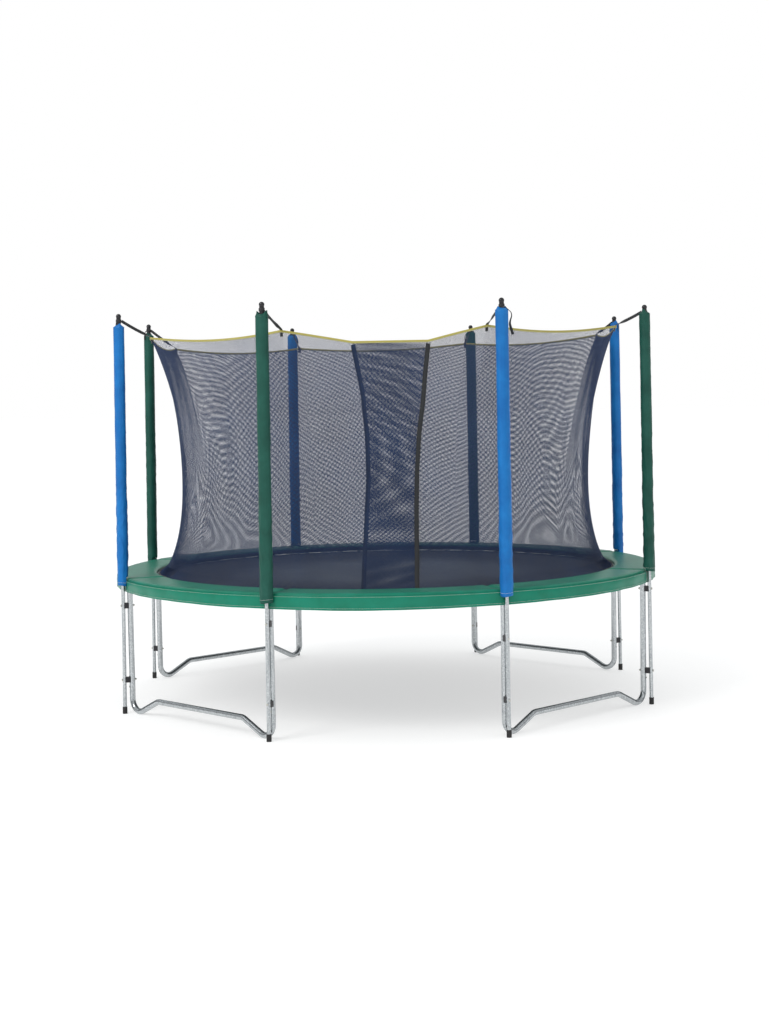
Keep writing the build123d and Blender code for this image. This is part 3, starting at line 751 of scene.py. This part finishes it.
# webbing straps: a loop round each pole's neck, a run to the corner of the rim, and a loose tail
strap = {
    "width": 0.019,
    "thickness": 0.0019,
    "neckRadius": 0.0172,
    "neckHeight": 2.551,
    "foldDown": 0.036,
    "loopWidth": 0.01748,
    "ringSteps": 28,
    "runSteps": 70,
    "tailSteps": 36,
    "runSag": 0.004,
    "twist": (0.45, 0.40),  # where on its run the strap starts to turn flat, and over how much
    "tailTwist": 1.25,
    "tailRoot": 0.006,
    # each tail is a line of (sideways, outwards, height) from the pole's axis
    "tails": [
        [(0.016, 0.006, 2.549), (0.034, 0.010, 2.530), (0.055, 0.010, 2.512), (0.061, 0.008, 2.490),
         (0.053, 0.006, 2.462), (0.051, 0.006, 2.440), (0.060, 0.006, 2.410), (0.069, 0.006, 2.381)],
        [(0.014, 0.008, 2.551), (0.036, 0.010, 2.532), (0.050, 0.010, 2.512), (0.053, 0.008, 2.490),
         (0.050, 0.008, 2.470), (0.044, 0.008, 2.455)],
        [(-0.015, 0.007, 2.552), (-0.036, 0.010, 2.538), (-0.046, 0.008, 2.515), (-0.045, 0.006, 2.490)],
        [(0.015, 0.007, 2.550), (0.040, 0.008, 2.535), (0.050, 0.006, 2.505), (0.047, 0.006, 2.470)],
        [(-0.015, 0.007, 2.551), (-0.038, 0.008, 2.530), (-0.047, 0.006, 2.500), (-0.046, 0.004, 2.476)],
        [(0.015, 0.007, 2.552), (0.038, 0.008, 2.538), (0.049, 0.006, 2.510), (0.051, 0.006, 2.486)],
        [(-0.015, 0.007, 2.550), (-0.037, 0.008, 2.533), (-0.048, 0.006, 2.504), (-0.049, 0.006, 2.474)],
        [(0.015, 0.007, 2.550), (0.036, 0.010, 2.536), (0.048, 0.008, 2.514), (0.050, 0.006, 2.494)],
    ],
    "tailWidth": [0.017, 0.010, 0.012, 0.014, 0.012, 0.012, 0.014, 0.010],
}


def strapParts(post):
    azimuth = postAzimuths[post]
    out, along = polar(1, azimuth), polar(1, azimuth + 90)
    height = strap["neckHeight"]
    axis = polar(poleRadius(height), azimuth, height)
    corner = wallPoint(azimuth, 1.0)
    ring = []
    for i in range(strap["ringSteps"]):
        turn = math.tau * i / strap["ringSteps"]
        lift = 0.0015 * math.cos(turn)
        spoke = (along * math.cos(turn) + out * math.sin(turn)) * strap["neckRadius"]
        ring.append(axis + spoke + Vector((0, 0, lift)))
    loop = tapePart(ring, upright(strap["ringSteps"]), strap["loopWidth"], strap["thickness"], True)
    start = axis - out * (strap["neckRadius"] + 0.001)
    top = corner - out * 0.001 + Vector((0, 0, 0.008))
    low = corner - out * 0.0085 + Vector((0, 0, -0.006))
    end = corner - out * 0.011 + Vector((0, 0, -strap["foldDown"]))
    sag = Vector((0, 0, strap["runSag"]))
    run = [start.lerp(top, i / 9) - sag * math.sin(math.pi * i / 9) for i in range(10)]
    path = curveThrough([*run, low, end], strap["runSteps"])
    slope = (top - start).normalized()
    standing = (Vector((0, 0, 1)) - slope * slope.z).normalized()
    over = []
    twistStart, twistLength = strap["twist"]
    for i in range(strap["runSteps"]):
        twist = math.pi / 2 * smooth((i / (strap["runSteps"] - 1) - twistStart) / twistLength)
        over.append(standing * math.cos(twist) + along * math.sin(twist))
    main = tapePart(path, over, strap["width"], strap["thickness"])
    points = [axis + along * x + out * y + Vector((0, 0, z - height)) for x, y, z in strap["tails"][post]]
    tail = curveThrough(points, strap["tailSteps"])
    wide = strap["tailWidth"][post]
    shares = [i / (strap["tailSteps"] - 1) for i in range(strap["tailSteps"])]
    widths = [mix(strap["tailRoot"], wide, smooth(share * 1.6 - 0.5)) for share in shares]
    angles = [strap["tailTwist"] * share for share in shares]
    turns = [out * math.cos(angle) + along * math.sin(angle) for angle in angles]
    return joinParts([loop, main, tapePart(tail, turns, widths, strap["thickness"])])


for post in range(postCount):
    piece = makePiece(f"net_strap_{post + 1}", strapParts(post), blackTape)
    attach(piece, "frame")
    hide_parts("net_straps")
print("straps made")

# the padded posts' cloth sleeves: a flat-sewn tube over the foam, drawn in under the cap
sleeve = {
    "around": 44,
    "along": 155,
    "rowsToHem": 1.12,  # above 1, rows crowd towards the top
    "halfWidth": 0.0375,
    "halfDepth": 0.0338,
    "square": 0.08,  # how far the round section is pushed out towards its corners
    "shoulder": 0.014,
    "neck": 0.0168,
    "flute": 0.0011,
    "wrinkle": 0.0042,
    "wrinklesPerMetre": 11,
    "wrinkleStart": 0.55,  # a higher value leaves fewer wrinkles
    "slant": 0.020,
    "ripple": 0.0016,
    "deepest": -0.0012,
    "pleat": 0.0022,
    "pleats": 9,
    "hemWave": 0.003,
    "thickness": 0.0012,
    "girth": 0.228,  # once round the cloth
    "hemSeam": 0.012,
    "stitchLift": 0.0009,
    "hems": [0.842, 0.876, 0.838, 0.843, 0.868, 0.846, 0.840, 0.827],
    "tops": [2.536, 2.553, 2.553, 2.540, 2.540, 2.524, 2.524, 2.525],
    # how far each of the two sewn corners stands up beside the neck
    "ears": [(0.010, 0.010), (0.016, 0.004), (0.012, 0.008), (0.010, 0.012), (0.012, 0.010), (0.010, 0.010),
             (0.012, 0.010), (0.020, 0.022)],
    "fullEar": 0.016,
    "clearFloor": 0.893,  # below this the sleeve stays outside the pad
    "clearRadius": padOuter + 0.0035,
}


def ridged(place):
    return 1 - abs(noise.noise(place)) * 2


def sleeveSwell(c, s, turn, height, seed):
    # how far the cloth stands out from its plain tube: soft flutes, slanting wrinkles and a fine ripple
    flute = sleeve["flute"] * noise.noise(Vector((c * 3.4 + seed, s * 3.4, height * 1.1)))
    slanted = height + sleeve["slant"] * math.sin(turn + seed)
    ridge = ridged(Vector((c * 0.9 + seed, s * 0.9, slanted * sleeve["wrinklesPerMetre"])))
    fold = max(0.0, ridge - sleeve["wrinkleStart"]) / (1 - sleeve["wrinkleStart"])
    patch = 0.35 + 0.65 * smooth(noise.noise(Vector((seed, 3.1, height * 2.2))) + 0.5)
    low = 1 - smooth((height - 1.0) / 1.25)
    swell = flute + sleeve["wrinkle"] * fold * patch * mix(0.25, 1.0, low)
    swell += sleeve["ripple"] * noise.noise(Vector((c + seed, s, height * 5.0)))
    return max(swell, sleeve["deepest"])


def sleevePoint(post, turn, share):
    # share 0 at the hem and 1 at the top; turn 0 is at the side of the pole and a quarter turn is outwards
    azimuth = postAzimuths[post]
    hem, top = sleeve["hems"][post], sleeve["tops"][post]
    c, s = math.cos(turn), math.sin(turn)
    seed = post * 7.3
    height = mix(hem, top, share)
    fromTop = top - height
    gather = smooth(1 - fromTop / sleeve["shoulder"])
    side = abs(c) ** 6
    ear = sleeve["ears"][post][0 if c < 0 else 1]
    across = sleeve["halfWidth"] * c / (abs(c) ** 4 + abs(s) ** 4) ** sleeve["square"]
    deep = sleeve["halfDepth"] * s
    swell = sleeveSwell(c, s, turn, height, seed)
    nearTop = smooth(1 - fromTop / (sleeve["shoulder"] * 1.8))
    pleat = sleeve["pleat"] * math.cos(sleeve["pleats"] * turn + seed) * nearTop
    shrink = gather * (1 - 0.62 * side * min(ear / sleeve["fullEar"], 1.3))
    radius = math.hypot(across, deep)
    narrow = mix(radius + swell + pleat, sleeve["neck"] + max(pleat, 0) * 0.6, shrink)
    lift = ear * side * smooth(1 - fromTop / (sleeve["shoulder"] * 0.8))
    wave = sleeve["hemWave"] * math.sin(2 * turn + seed) * (1 - smooth(share * 30))
    height += lift + wave
    place = polar(poleRadius(height), azimuth, height)
    place += polar(narrow * c * abs(across) / max(radius * abs(c), 1e-6), azimuth + 90)
    place += polar(narrow * s * abs(deep) / max(radius * abs(s), 1e-6), azimuth)
    if height < sleeve["clearFloor"]:
        flat = Vector((place.x, place.y))
        if flat.length < sleeve["clearRadius"]:
            flat *= sleeve["clearRadius"] / flat.length
            place = Vector((flat.x, flat.y, height))
    return place


def sleeveRow(post, share):
    turns = [math.tau * (j + 0.5) / sleeve["around"] for j in range(sleeve["around"])]
    return [sleevePoint(post, turn, share) for turn in turns]


for post in range(postCount):
    rows = []
    for i in range(sleeve["along"] + 1):
        share = i / sleeve["along"]
        share = 1 - (1 - share) ** sleeve["rowsToHem"]
        rows.append(sleeveRow(post, share))
    colour, cloth = (("blue", blueCloth), ("green", greenCloth))[post % 2]
    piece = makePiece(f"sleeve_cloth_{post + 1}", gridPart(rows, True), cloth, False)
    thicken(piece, sleeve["thickness"])
    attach(piece, "frame")
    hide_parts(f"sleeve_{colour}_{post + 1}")
    seam = sleeveRow(post, sleeve["hemSeam"])
    axis = polar(poleRadius(seam[0].z), postAzimuths[post])
    loop = []
    for place in seam:
        outwards = (place - Vector((axis.x, axis.y, place.z))).normalized()
        loop.append(place + outwards * sleeve["stitchLift"])
    sew(f"sleeve_hem_stitching_{post + 1}", [loop], thread, "frame", closed=True, pitch=0.007, length=0.005)
print("sleeves made")

# the safety pad: eight panels, meeting at the posts, and a skirt over the rail
pad = {
    "panels": 8,
    "rowLength": 0.03,
    "remesh": 0.006,
    "slack": 0.0015,  # the uninflated panel is this much smaller all round
    "pressure": 4.0,
    "frames": 20,
    "quality": 4,
    "tension": 30,
    "compression": 12,
    "bending": 0.4,
    "soften": 6,
    "mostSwell": 0.006,
    "seamGap": 0.06,  # in degrees, from the panel's end to the seam before it is filled
    "lipWidth": 0.014,
    "lipBottom": padBase - 0.0105,
    "crease": 0.0085,
    "creaseWidth": 0.017,
    "pucker": 0.0022,
    "puckerFade": 0.12,
    "skirtTop": padTop - 0.010,
    "skirtBottom": matHeight - 0.035,
    "skirtDip": 0.015,
    "skirtHem": 0.01,  # turned under
    "skirtSteps": 720,
    "skirtThickness": 0.0012,
    "stitchPitch": 0.008,
    "stitchInset": 0.010,
}


def padSection():
    # once round the panel's section: out along the underside, back over the top, down to the lip
    slack = pad["slack"]
    inner, outer, low, high = padInner + slack, padOuter - slack, padBase + slack, padTop - slack
    lip, lipWide = pad["lipBottom"] + slack, pad["lipWidth"]
    outline = [(inner + 0.002, lip), (inner + lipWide - 0.002, lip), (inner + lipWide + 0.002, low)]
    outline += [(mix(inner + 0.022, outer - 0.006, i / 30), low) for i in range(31)]
    outline += [(outer - 0.001, low + 0.004), (outer, mix(low, high, 0.5)), (outer - 0.002, high - 0.006)]
    outline += [(mix(outer - 0.009, inner + 0.014, i / 30), high) for i in range(31)]
    outline += [(inner + 0.005, high - 0.003), (inner + 0.001, high - 0.008)]
    return outline


def simulatedPanel():
    # one panel, centred on the doorway, blown up by cloth simulation until its cover is full of foam
    section = padSection()
    half = bayAngle / 2 - pad["seamGap"]
    count = round(math.radians(bayAngle) * padOuter / pad["rowLength"])
    rows = [[polar(r, mix(-half, half, i / count), z) for r, z in section] for i in range(count + 1)]
    panel = makePiece("safety_pad_1", gridPart(rows, True, capped=True), padVinyl)
    remesh = panel.modifiers.new("evenFaces", "REMESH")
    remesh.mode = "VOXEL"
    remesh.voxel_size = pad["remesh"]
    data = applyModifiers(panel)
    before = [vertex.co.copy() for vertex in data.vertices]
    cloth = panel.modifiers.new("inflate", "CLOTH")
    cloth.settings.use_pressure = True
    cloth.settings.uniform_pressure_force = pad["pressure"]
    cloth.settings.effector_weights.gravity = 0
    cloth.settings.quality = pad["quality"]
    cloth.settings.tension_stiffness = pad["tension"]
    cloth.settings.compression_stiffness = pad["compression"]
    cloth.settings.bending_stiffness = pad["bending"]
    cloth.point_cache.frame_start = 1
    cloth.point_cache.frame_end = pad["frames"]
    for step in range(1, pad["frames"] + 1):
        bpy.context.scene.frame_set(step)
    applyModifiers(panel)
    bpy.context.scene.frame_set(1)
    soft = panel.modifiers.new("soften", "SMOOTH")
    soft.factor = 0.5
    soft.iterations = pad["soften"]
    data = applyModifiers(panel)
    for vertex, start in zip(data.vertices, before):
        moved = vertex.co - start
        if moved.length > pad["mostSwell"]:
            vertex.co = start + moved * (pad["mostSwell"] / moved.length)
        vertex.co = settled(vertex.co)
    data.polygons.foreach_set("use_smooth", [True] * len(data.polygons))
    data.update()
    return panel


def settled(place):
    # keeps the cover above its backing and inside its rim, and draws it in at the two seams
    azimuth = math.degrees(math.atan2(place.x, -place.y))
    radius = math.hypot(place.x, place.y)
    seamAway = math.radians(bayAngle / 2 - abs(azimuth)) * radius
    height = place.z
    if height > padBase + 0.006 and radius > padInner + 0.01:
        near = math.exp(-((seamAway / pad["creaseWidth"]) ** 2))
        height -= pad["crease"] * near
        run = Vector((azimuth * 3.1, radius * 9, 0))
        pucker = noise.noise(run) * 0.5 + noise.noise(run * 2.3 + Vector((9, 4, 1))) * 0.3
        height += pad["pucker"] * pucker * (0.7 + 1.6 * math.exp(-seamAway / pad["puckerFade"]))
    inside = radius < padInner + pad["lipWidth"] + 0.004
    height = max(height, pad["lipBottom"] if inside else padBase + 0.0004)
    height = min(height, padTop + 0.004)
    radius = min(max(radius, padInner - 0.001), padOuter)
    limit = bayAngle / 2 - 0.02
    return polar(radius, min(max(azimuth, -limit), limit), height)


def turned(source, name, degrees):
    data = source.data.copy()
    data.transform(Matrix.Rotation(math.radians(degrees), 4, "Z"))
    copy = bpy.data.objects.new(name, data)
    bpy.context.scene.collection.objects.link(copy)
    return copy


first = simulatedPanel()
panels = [first] + [turned(first, f"safety_pad_{i + 1}", bayAngle * i) for i in range(1, pad["panels"])]
for panel in panels:
    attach(panel, "frame")
    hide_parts("pad_cover", "pad_foam")
print("pad filled")


def skirtPoint(azimuth, share):
    # share 0 at the top of the skirt, 1 at its hem
    turn = math.radians(azimuth)
    hem = pad["skirtBottom"] - pad["skirtDip"] * max(0.0, math.cos(turn)) ** 3
    number, offset = bayOf(azimuth)
    fromPost = bayAngle / 2 - abs(offset)
    free = smooth((fromPost - 1.2) / 5)
    wave = 0.5 + 0.5 * math.sin(azimuth * 0.9 + 2.0 * noise.noise(polar(2.0, azimuth)))
    bulge = 0.0045 * wave * free * share ** 0.8
    radius = padOuter + 0.0012 + 0.0022 * math.sin(math.pi * min(share * 1.4, 1)) * free + bulge
    height = mix(pad["skirtTop"], hem, share) + 0.0035 * share * noise.noise(polar(5.0, azimuth))
    return polar(radius, azimuth, height)


azimuths = [360 * i / pad["skirtSteps"] for i in range(pad["skirtSteps"])]
rows = [[skirtPoint(azimuth, j / 14) for j in range(15)] for azimuth in azimuths]
skirt = makePiece("safety_pad_skirt", gridPart(rows, False, True), padVinyl, False)
thicken(skirt, pad["skirtThickness"])
sharpen(skirt, 50)
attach(skirt, "frame")
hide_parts("pad_cover")
drop = pad["skirtTop"] - pad["skirtBottom"] + pad["skirtHem"]
rows = [[skirtPoint(azimuth, share) + polar(pad["skirtThickness"], azimuth) for azimuth in azimuths]
        for share in (0.86, 0.08)]
sew("skirt_stitching", rows, thread, "frame", closed=True, pitch=0.010, length=0.0065)


def seamLines():
    # a row of stitches on each side of every seam, laid on the simulated cover
    bpy.context.view_layer.update()
    lines = []
    for side in (-1, 1):
        path = []
        for i in range(40):
            radius = mix(padInner + 0.012, padOuter - 0.010, i / 39)
            azimuth = side * (bayAngle / 2 - math.degrees(pad["stitchInset"] / radius))
            hit, place, normal, face = first.ray_cast(polar(radius, azimuth, padTop + 0.1), (0, 0, -1))
            if hit:
                path.append(place + Vector((0, 0, 0.0004)))
        for i in range(pad["panels"]):
            turn = Matrix.Rotation(math.radians(bayAngle * i), 4, "Z")
            lines.append([turn @ place for place in path])
    return lines


sew("pad_seam_stitching", seamLines(), thread, "frame", pitch=pad["stitchPitch"], length=0.0055)
print("pad sewn")

# the jumping mat, in sectors that each follow its slight dip, and the springs that stretch behind it
bed = {
    "sectors": 12,
    "springsEach": 6,
    "sectorSteps": 12,
    "sectorRings": 26,
    "edgeSteps": 24,
    "loopSteps": 33,
    "stitchInsets": (0.005, 0.029),
    "thickness": 0.0016,
    "edgeWidth": 0.034,
    "edgeThickness": 0.0046,
    "loopWidth": 0.024,
    "loopThickness": 0.0016,
    "ringInner": 0.004,
    "ringReach": 0.028,
    "ringHalf": 0.014,
    "ringTop": 0.009,
    "ringCorner": 0.003,
    "ringWire": 0.0025,
    "coilStart": 0.054,
    "coilEnd": 0.168,
    "coilRadius": 0.0095,
    "wire": 0.00175,
    "turns": 25.0,
    "springEnd": 0.1930,
    "sag": 0.004,
}


def matPoint(radius, azimuth, lift=0.0):
    # a slight dip under its own weight, and a soft unevenness in the cloth
    dip = bed["sag"] * (1 - (radius / matRadius) ** 2)
    ripple = 0.0012 * noise.noise(polar(radius * 3, azimuth)) * (1 - (radius / matRadius) ** 4)
    return polar(radius, azimuth, matHeight - dip + ripple + lift)


def matSector(middle):
    # a fan from the mat's centre, so no face is squeezed to nothing there
    half = 180 / bed["sectors"]
    steps, rings = bed["sectorSteps"], bed["sectorRings"]
    turns = [mix(middle - half, middle + half, j / steps) for j in range(steps + 1)]
    reaches = [matRadius * (i / rings) for i in range(1, rings + 1)]
    points = [matPoint(0, 0)] + [matPoint(reach, turn) for reach in reaches for turn in turns]
    faces = [(0, 1 + j, 2 + j) for j in range(steps)]
    for i in range(rings - 1):
        for j in range(steps):
            near = 1 + i * (steps + 1) + j
            far = near + steps + 1
            faces.append((near, far, far + 1, near + 1))
    corners = [[(points[k].x, points[k].y) for k in face] for face in faces]
    return [tuple(point) for point in points], faces, corners


def edgeAzimuths(middle):
    half = 180 / bed["sectors"]
    return [mix(middle - half, middle + half, j / bed["edgeSteps"]) for j in range(bed["edgeSteps"] + 1)]


def matEdge(middle):
    turns = edgeAzimuths(middle)
    path = [matPoint(matRadius - bed["edgeWidth"] / 2, turn) for turn in turns]
    over = [polar(1, turn) for turn in turns]
    parts = [tapePart(path, over, bed["edgeWidth"], bed["edgeThickness"])]
    for azimuth in springAzimuths(middle):
        # the webbing loop that holds a ring: out round its inner bar and back
        above = [(-0.050, 0.0034), (-0.020, 0.0034), (-0.004, 0.0036), (0.004, 0.0033)]
        below = [(reach, -lift) for reach, lift in reversed(above)]
        loop = [matPoint(matRadius + reach, azimuth, lift) for reach, lift in (*above, (0.0085, 0), *below)]
        path = curveThrough(loop, bed["loopSteps"])
        sideways = [polar(1, azimuth + 90)] * bed["loopSteps"]
        parts.append(tapePart(path, sideways, bed["loopWidth"], bed["loopThickness"]))
    return joinParts(parts)


def springAzimuths(middle):
    gap = 360 / bed["sectors"] / bed["springsEach"]
    return [middle + gap * (i - (bed["springsEach"] - 1) / 2) for i in range(bed["springsEach"])]


def springTree():
    # a close-wound coil with a hook at each end, and the ring it pulls, set at every carrier point
    inputs = {"Coil radius": "NodeSocketFloat", "Coil length": "NodeSocketFloat", "Turns": "NodeSocketFloat",
              "Wire radius": "NodeSocketFloat", "Ring wire radius": "NodeSocketFloat",
              "Material": "NodeSocketMaterial"}
    tree, given = newTree("springs", inputs)
    wire = addNode(tree, "GeometryNodeCurvePrimitiveCircle", {"mode": "RADIUS", "Resolution": 5},
                   {"Radius": given["Wire radius"]})
    thick = addNode(tree, "GeometryNodeCurvePrimitiveCircle", {"mode": "RADIUS", "Resolution": 8},
                    {"Radius": given["Ring wire radius"]})
    coil = addNode(tree, "GeometryNodeCurveSpiral", {"Resolution": 9},
                   {"Rotations": given["Turns"], "Start Radius": given["Coil radius"],
                    "End Radius": given["Coil radius"], "Height": given["Coil length"]})
    coilPlace = addNode(tree, "GeometryNodeTransform", {"Translation": (0, 0, bed["coilStart"])},
                        {"Geometry": coil.outputs[0]})
    hooks = []
    # each hook leaves the coil's side, comes to its middle line and ends in a half turn
    ends = ((bed["coilStart"], bed["ringReach"] + 0.001, -1), (bed["coilEnd"], bed["springEnd"], 1))
    for start, away, tip in ends:
        reach = abs(away - start)
        bend = {"Resolution": 14, "Start": (bed["coilRadius"], 0, start),
                "Start Handle": (0.002, 0, start + tip * reach * 0.35),
                "End Handle": (-0.010, 0, away + tip * 0.003), "End": (-0.0045, 0, away - tip * 0.007)}
        line = addNode(tree, "GeometryNodeCurvePrimitiveBezierSegment", {"mode": "POSITION", **bend})
        hooks.append(line)
    bent = addNode(tree, "GeometryNodeJoinGeometry")
    for source in [coilPlace, *hooks]:
        tree.links.new(source.outputs[0], bent.inputs[0])
    sprung = addNode(tree, "GeometryNodeCurveToMesh", {"Fill Caps": True},
                     {"Curve": bent.outputs[0], "Profile Curve": wire.outputs[0]})
    outline = addNode(tree, "GeometryNodeCurvePrimitiveQuadrilateral",
                      {"mode": "TRAPEZOID", "Height": bed["ringReach"] - bed["ringInner"] - bed["ringCorner"],
                       "Offset": 0.0, "Bottom Width": 2 * bed["ringHalf"] - bed["ringCorner"],
                       "Top Width": bed["ringTop"]})
    rounded = addNode(tree, "GeometryNodeFilletCurve",
                      {"mode": "POLY", "Count": 4, "Radius": bed["ringCorner"]},
                      {"Curve": outline.outputs[0]})
    ring = addNode(tree, "GeometryNodeCurveToMesh", {},
                   {"Curve": rounded.outputs[0], "Profile Curve": thick.outputs[0]})
    middle = (bed["ringInner"] + bed["ringReach"]) / 2
    ringPlace = addNode(tree, "GeometryNodeTransform",
                        {"Rotation": (math.pi / 2, 0, math.pi / 2), "Translation": (0, 0, middle)},
                        {"Geometry": ring.outputs[0]})
    both = addNode(tree, "GeometryNodeJoinGeometry")
    tree.links.new(sprung.outputs[0], both.inputs[0])
    tree.links.new(ringPlace.outputs[0], both.inputs[0])
    facing = addNode(tree, "GeometryNodeInputNamedAttribute", {"data_type": "FLOAT_VECTOR", "Name": "facing"})
    spots = addNode(tree, "GeometryNodeInstanceOnPoints", {},
                    {"Points": given["Geometry"], "Instance": both.outputs[0],
                     "Rotation": facing.outputs["Attribute"]})
    endTree(tree, spots.outputs[0], given["Material"])
    return tree


springs = springTree()
springSettings = {"Coil radius": bed["coilRadius"], "Coil length": bed["coilEnd"] - bed["coilStart"],
                  "Turns": bed["turns"], "Wire radius": bed["wire"], "Ring wire radius": bed["ringWire"],
                  "Material": zinc}
for i in range(bed["sectors"]):
    middle = 360 / bed["sectors"] * (i + 0.5)
    cloth = makePiece(f"mat_sector_{i + 1}", matSector(middle), matCloth, False)
    thicken(cloth, bed["thickness"])
    sharpen(cloth)
    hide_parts("jump_mat")
    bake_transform(cloth)
    edge = makePiece(f"mat_edge_{i + 1}", matEdge(middle), blackTape)
    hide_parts("mat_webbing")
    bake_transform(edge)
    rows = [[matPoint(matRadius - inset, turn, bed["edgeThickness"] / 2) for turn in edgeAzimuths(middle)]
            for inset in bed["stitchInsets"]]
    lines = sew(f"mat_stitching_{i + 1}", rows, thread, None)
    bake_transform(lines)
    turns = springAzimuths(middle)
    facing = [(0, math.pi / 2, math.radians(turn - 90)) for turn in turns]
    spots = [tuple(polar(matRadius, turn, matHeight)) for turn in turns]
    coils = runTree(f"springs_{i + 1}", springs, spots, [], springSettings, {"facing": facing})
    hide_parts("springs", "mat_rings")
    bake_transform(coils)
print("mat and springs made")

# what the CAD shows as it is: only its material is chosen
looks = {
    steel: ["rail_", "upright_", "leg_base_", "pole_lowers", "pole_uppers"],
    zinc: ["clamp_bolts", "clamp_nuts", "leg_screws"],
    plastic: ["clamp_spacers", "pole_caps"],
    rubber: ["pole_feet", "net_hooks"],
    foam: ["foam_tubes"],
    backingSheet: ["pad_backing"],
    blackTape: ["pad_ties"],
}
for material, starts in looks.items():
    for name in nodes:
        if any(name.startswith(start) for start in starts):
            data = bpy.data.objects[name].data
            data.materials.clear()
            data.materials.append(material)
print("materials given to the CAD pieces")

studio = {
    "floor": "#bfbfbe",
    "floorGlow": 0.52,
    "floorReach": 400.0,
    "tent": 1.05,
    "tentColour": (0.97, 0.985, 1.0, 1.0),
    "mirrored": 0.62,  # how bright the tent is in reflections
    "flag": 0.08,
    # where each flag fades in and out sideways, and where it ends upwards
    "flagInner": (0.48, 0.62),
    "flagOuter": (0.90, 0.98),
    "flagTop": (0.15, 0.55),
    "lampAim": (0, 0, 1.2),
    # each lamp's name, place, size and power
    "lamps": [("keyLight", (-7, -8, 9), 5.0, 700.0), ("fillLight", (8, -7, 5), 5.0, 60.0)],
}


def layFloor():
    # painted studio floor: matt and pale, with a glow that keeps it as bright as the backdrop
    settings = {"Base Color": hexColour(studio["floor"]), "Roughness": 0.9, "Emission Color": (1, 1, 1, 1),
                "Emission Strength": studio["floorGlow"]}
    material = startMaterial("paleFloorPaint", settings)[0]
    reach = studio["floorReach"]
    data = bpy.data.meshes.new("studioFloor")
    data.from_pydata([(-reach, -reach, 0), (reach, -reach, 0), (reach, reach, 0), (-reach, reach, 0)],
                     [], [(0, 1, 2, 3)])
    data.materials.append(material)
    floor = bpy.data.objects.new("studioFloor", data)
    bpy.context.scene.collection.objects.link(floor)


def hangTent():
    # the camera sees a white backdrop; every other ray sees a bright tent with a dark flag on each side,
    # which gives the tubes their edges
    world = bpy.data.worlds.new("studioWorld")
    bpy.context.scene.world = world
    world.use_nodes = True
    tree = world.node_tree
    backdrop = tree.nodes["Background"]
    backdrop.inputs["Color"].default_value = (1.0, 1.0, 1.0, 1.0)
    backdrop.inputs["Strength"].default_value = 1.0
    sky = addNode(tree, "ShaderNodeTexCoord").outputs["Generated"]
    direction = addNode(tree, "ShaderNodeSeparateXYZ", {}, {"Vector": sky}).outputs
    sideways = addNode(tree, "ShaderNodeMath", {"operation": "ABSOLUTE"}, {0: direction["X"]}).outputs[0]
    edges = []
    for value, (start, stop), (low, high) in ((sideways, studio["flagInner"], (0, 1)),
                                              (sideways, studio["flagOuter"], (1, 0)),
                                              (direction["Z"], studio["flagTop"], (1, 0))):
        settings = {"From Min": start, "From Max": stop, "To Min": low, "To Max": high}
        edges.append(addNode(tree, "ShaderNodeMapRange", settings, {"Value": value}).outputs["Result"])
    band = addNode(tree, "ShaderNodeMath", {"operation": "MULTIPLY"}, {0: edges[0], 1: edges[1]}).outputs[0]
    shade = addNode(tree, "ShaderNodeMath", {"operation": "MULTIPLY"}, {0: band, 1: edges[2]}).outputs[0]
    ray = addNode(tree, "ShaderNodeLightPath").outputs
    glow = addNode(tree, "ShaderNodeMapRange", {"To Min": studio["tent"], "To Max": studio["flag"]},
                   {"Value": shade}).outputs["Result"]
    dim = addNode(tree, "ShaderNodeMapRange", {"To Min": 1.0, "To Max": studio["mirrored"]},
                  {"Value": ray["Is Glossy Ray"]}).outputs["Result"]
    power = addNode(tree, "ShaderNodeMath", {"operation": "MULTIPLY"}, {0: glow, 1: dim}).outputs[0]
    tent = addNode(tree, "ShaderNodeBackground", {"Color": studio["tentColour"]}, {"Strength": power})
    both = addNode(tree, "ShaderNodeMixShader", {},
                   {0: ray["Is Camera Ray"], 1: tent.outputs[0], 2: backdrop.outputs[0]})
    tree.links.new(both.outputs[0], tree.nodes["World Output"].inputs["Surface"])


def hangLamps():
    for name, place, size, power in studio["lamps"]:
        lamp = bpy.data.lights.new(name, "AREA")
        lamp.size = size
        lamp.energy = power
        holder = bpy.data.objects.new(name, lamp)
        bpy.context.scene.collection.objects.link(holder)
        holder.location = place
        holder.rotation_mode = "QUATERNION"
        holder.rotation_quaternion = (Vector(studio["lampAim"]) - holder.location).to_track_quat("-Z", "Y")


layFloor()
hangTent()
hangLamps()
bpy.context.scene.view_settings.view_transform = "Standard"
print("studio lit")
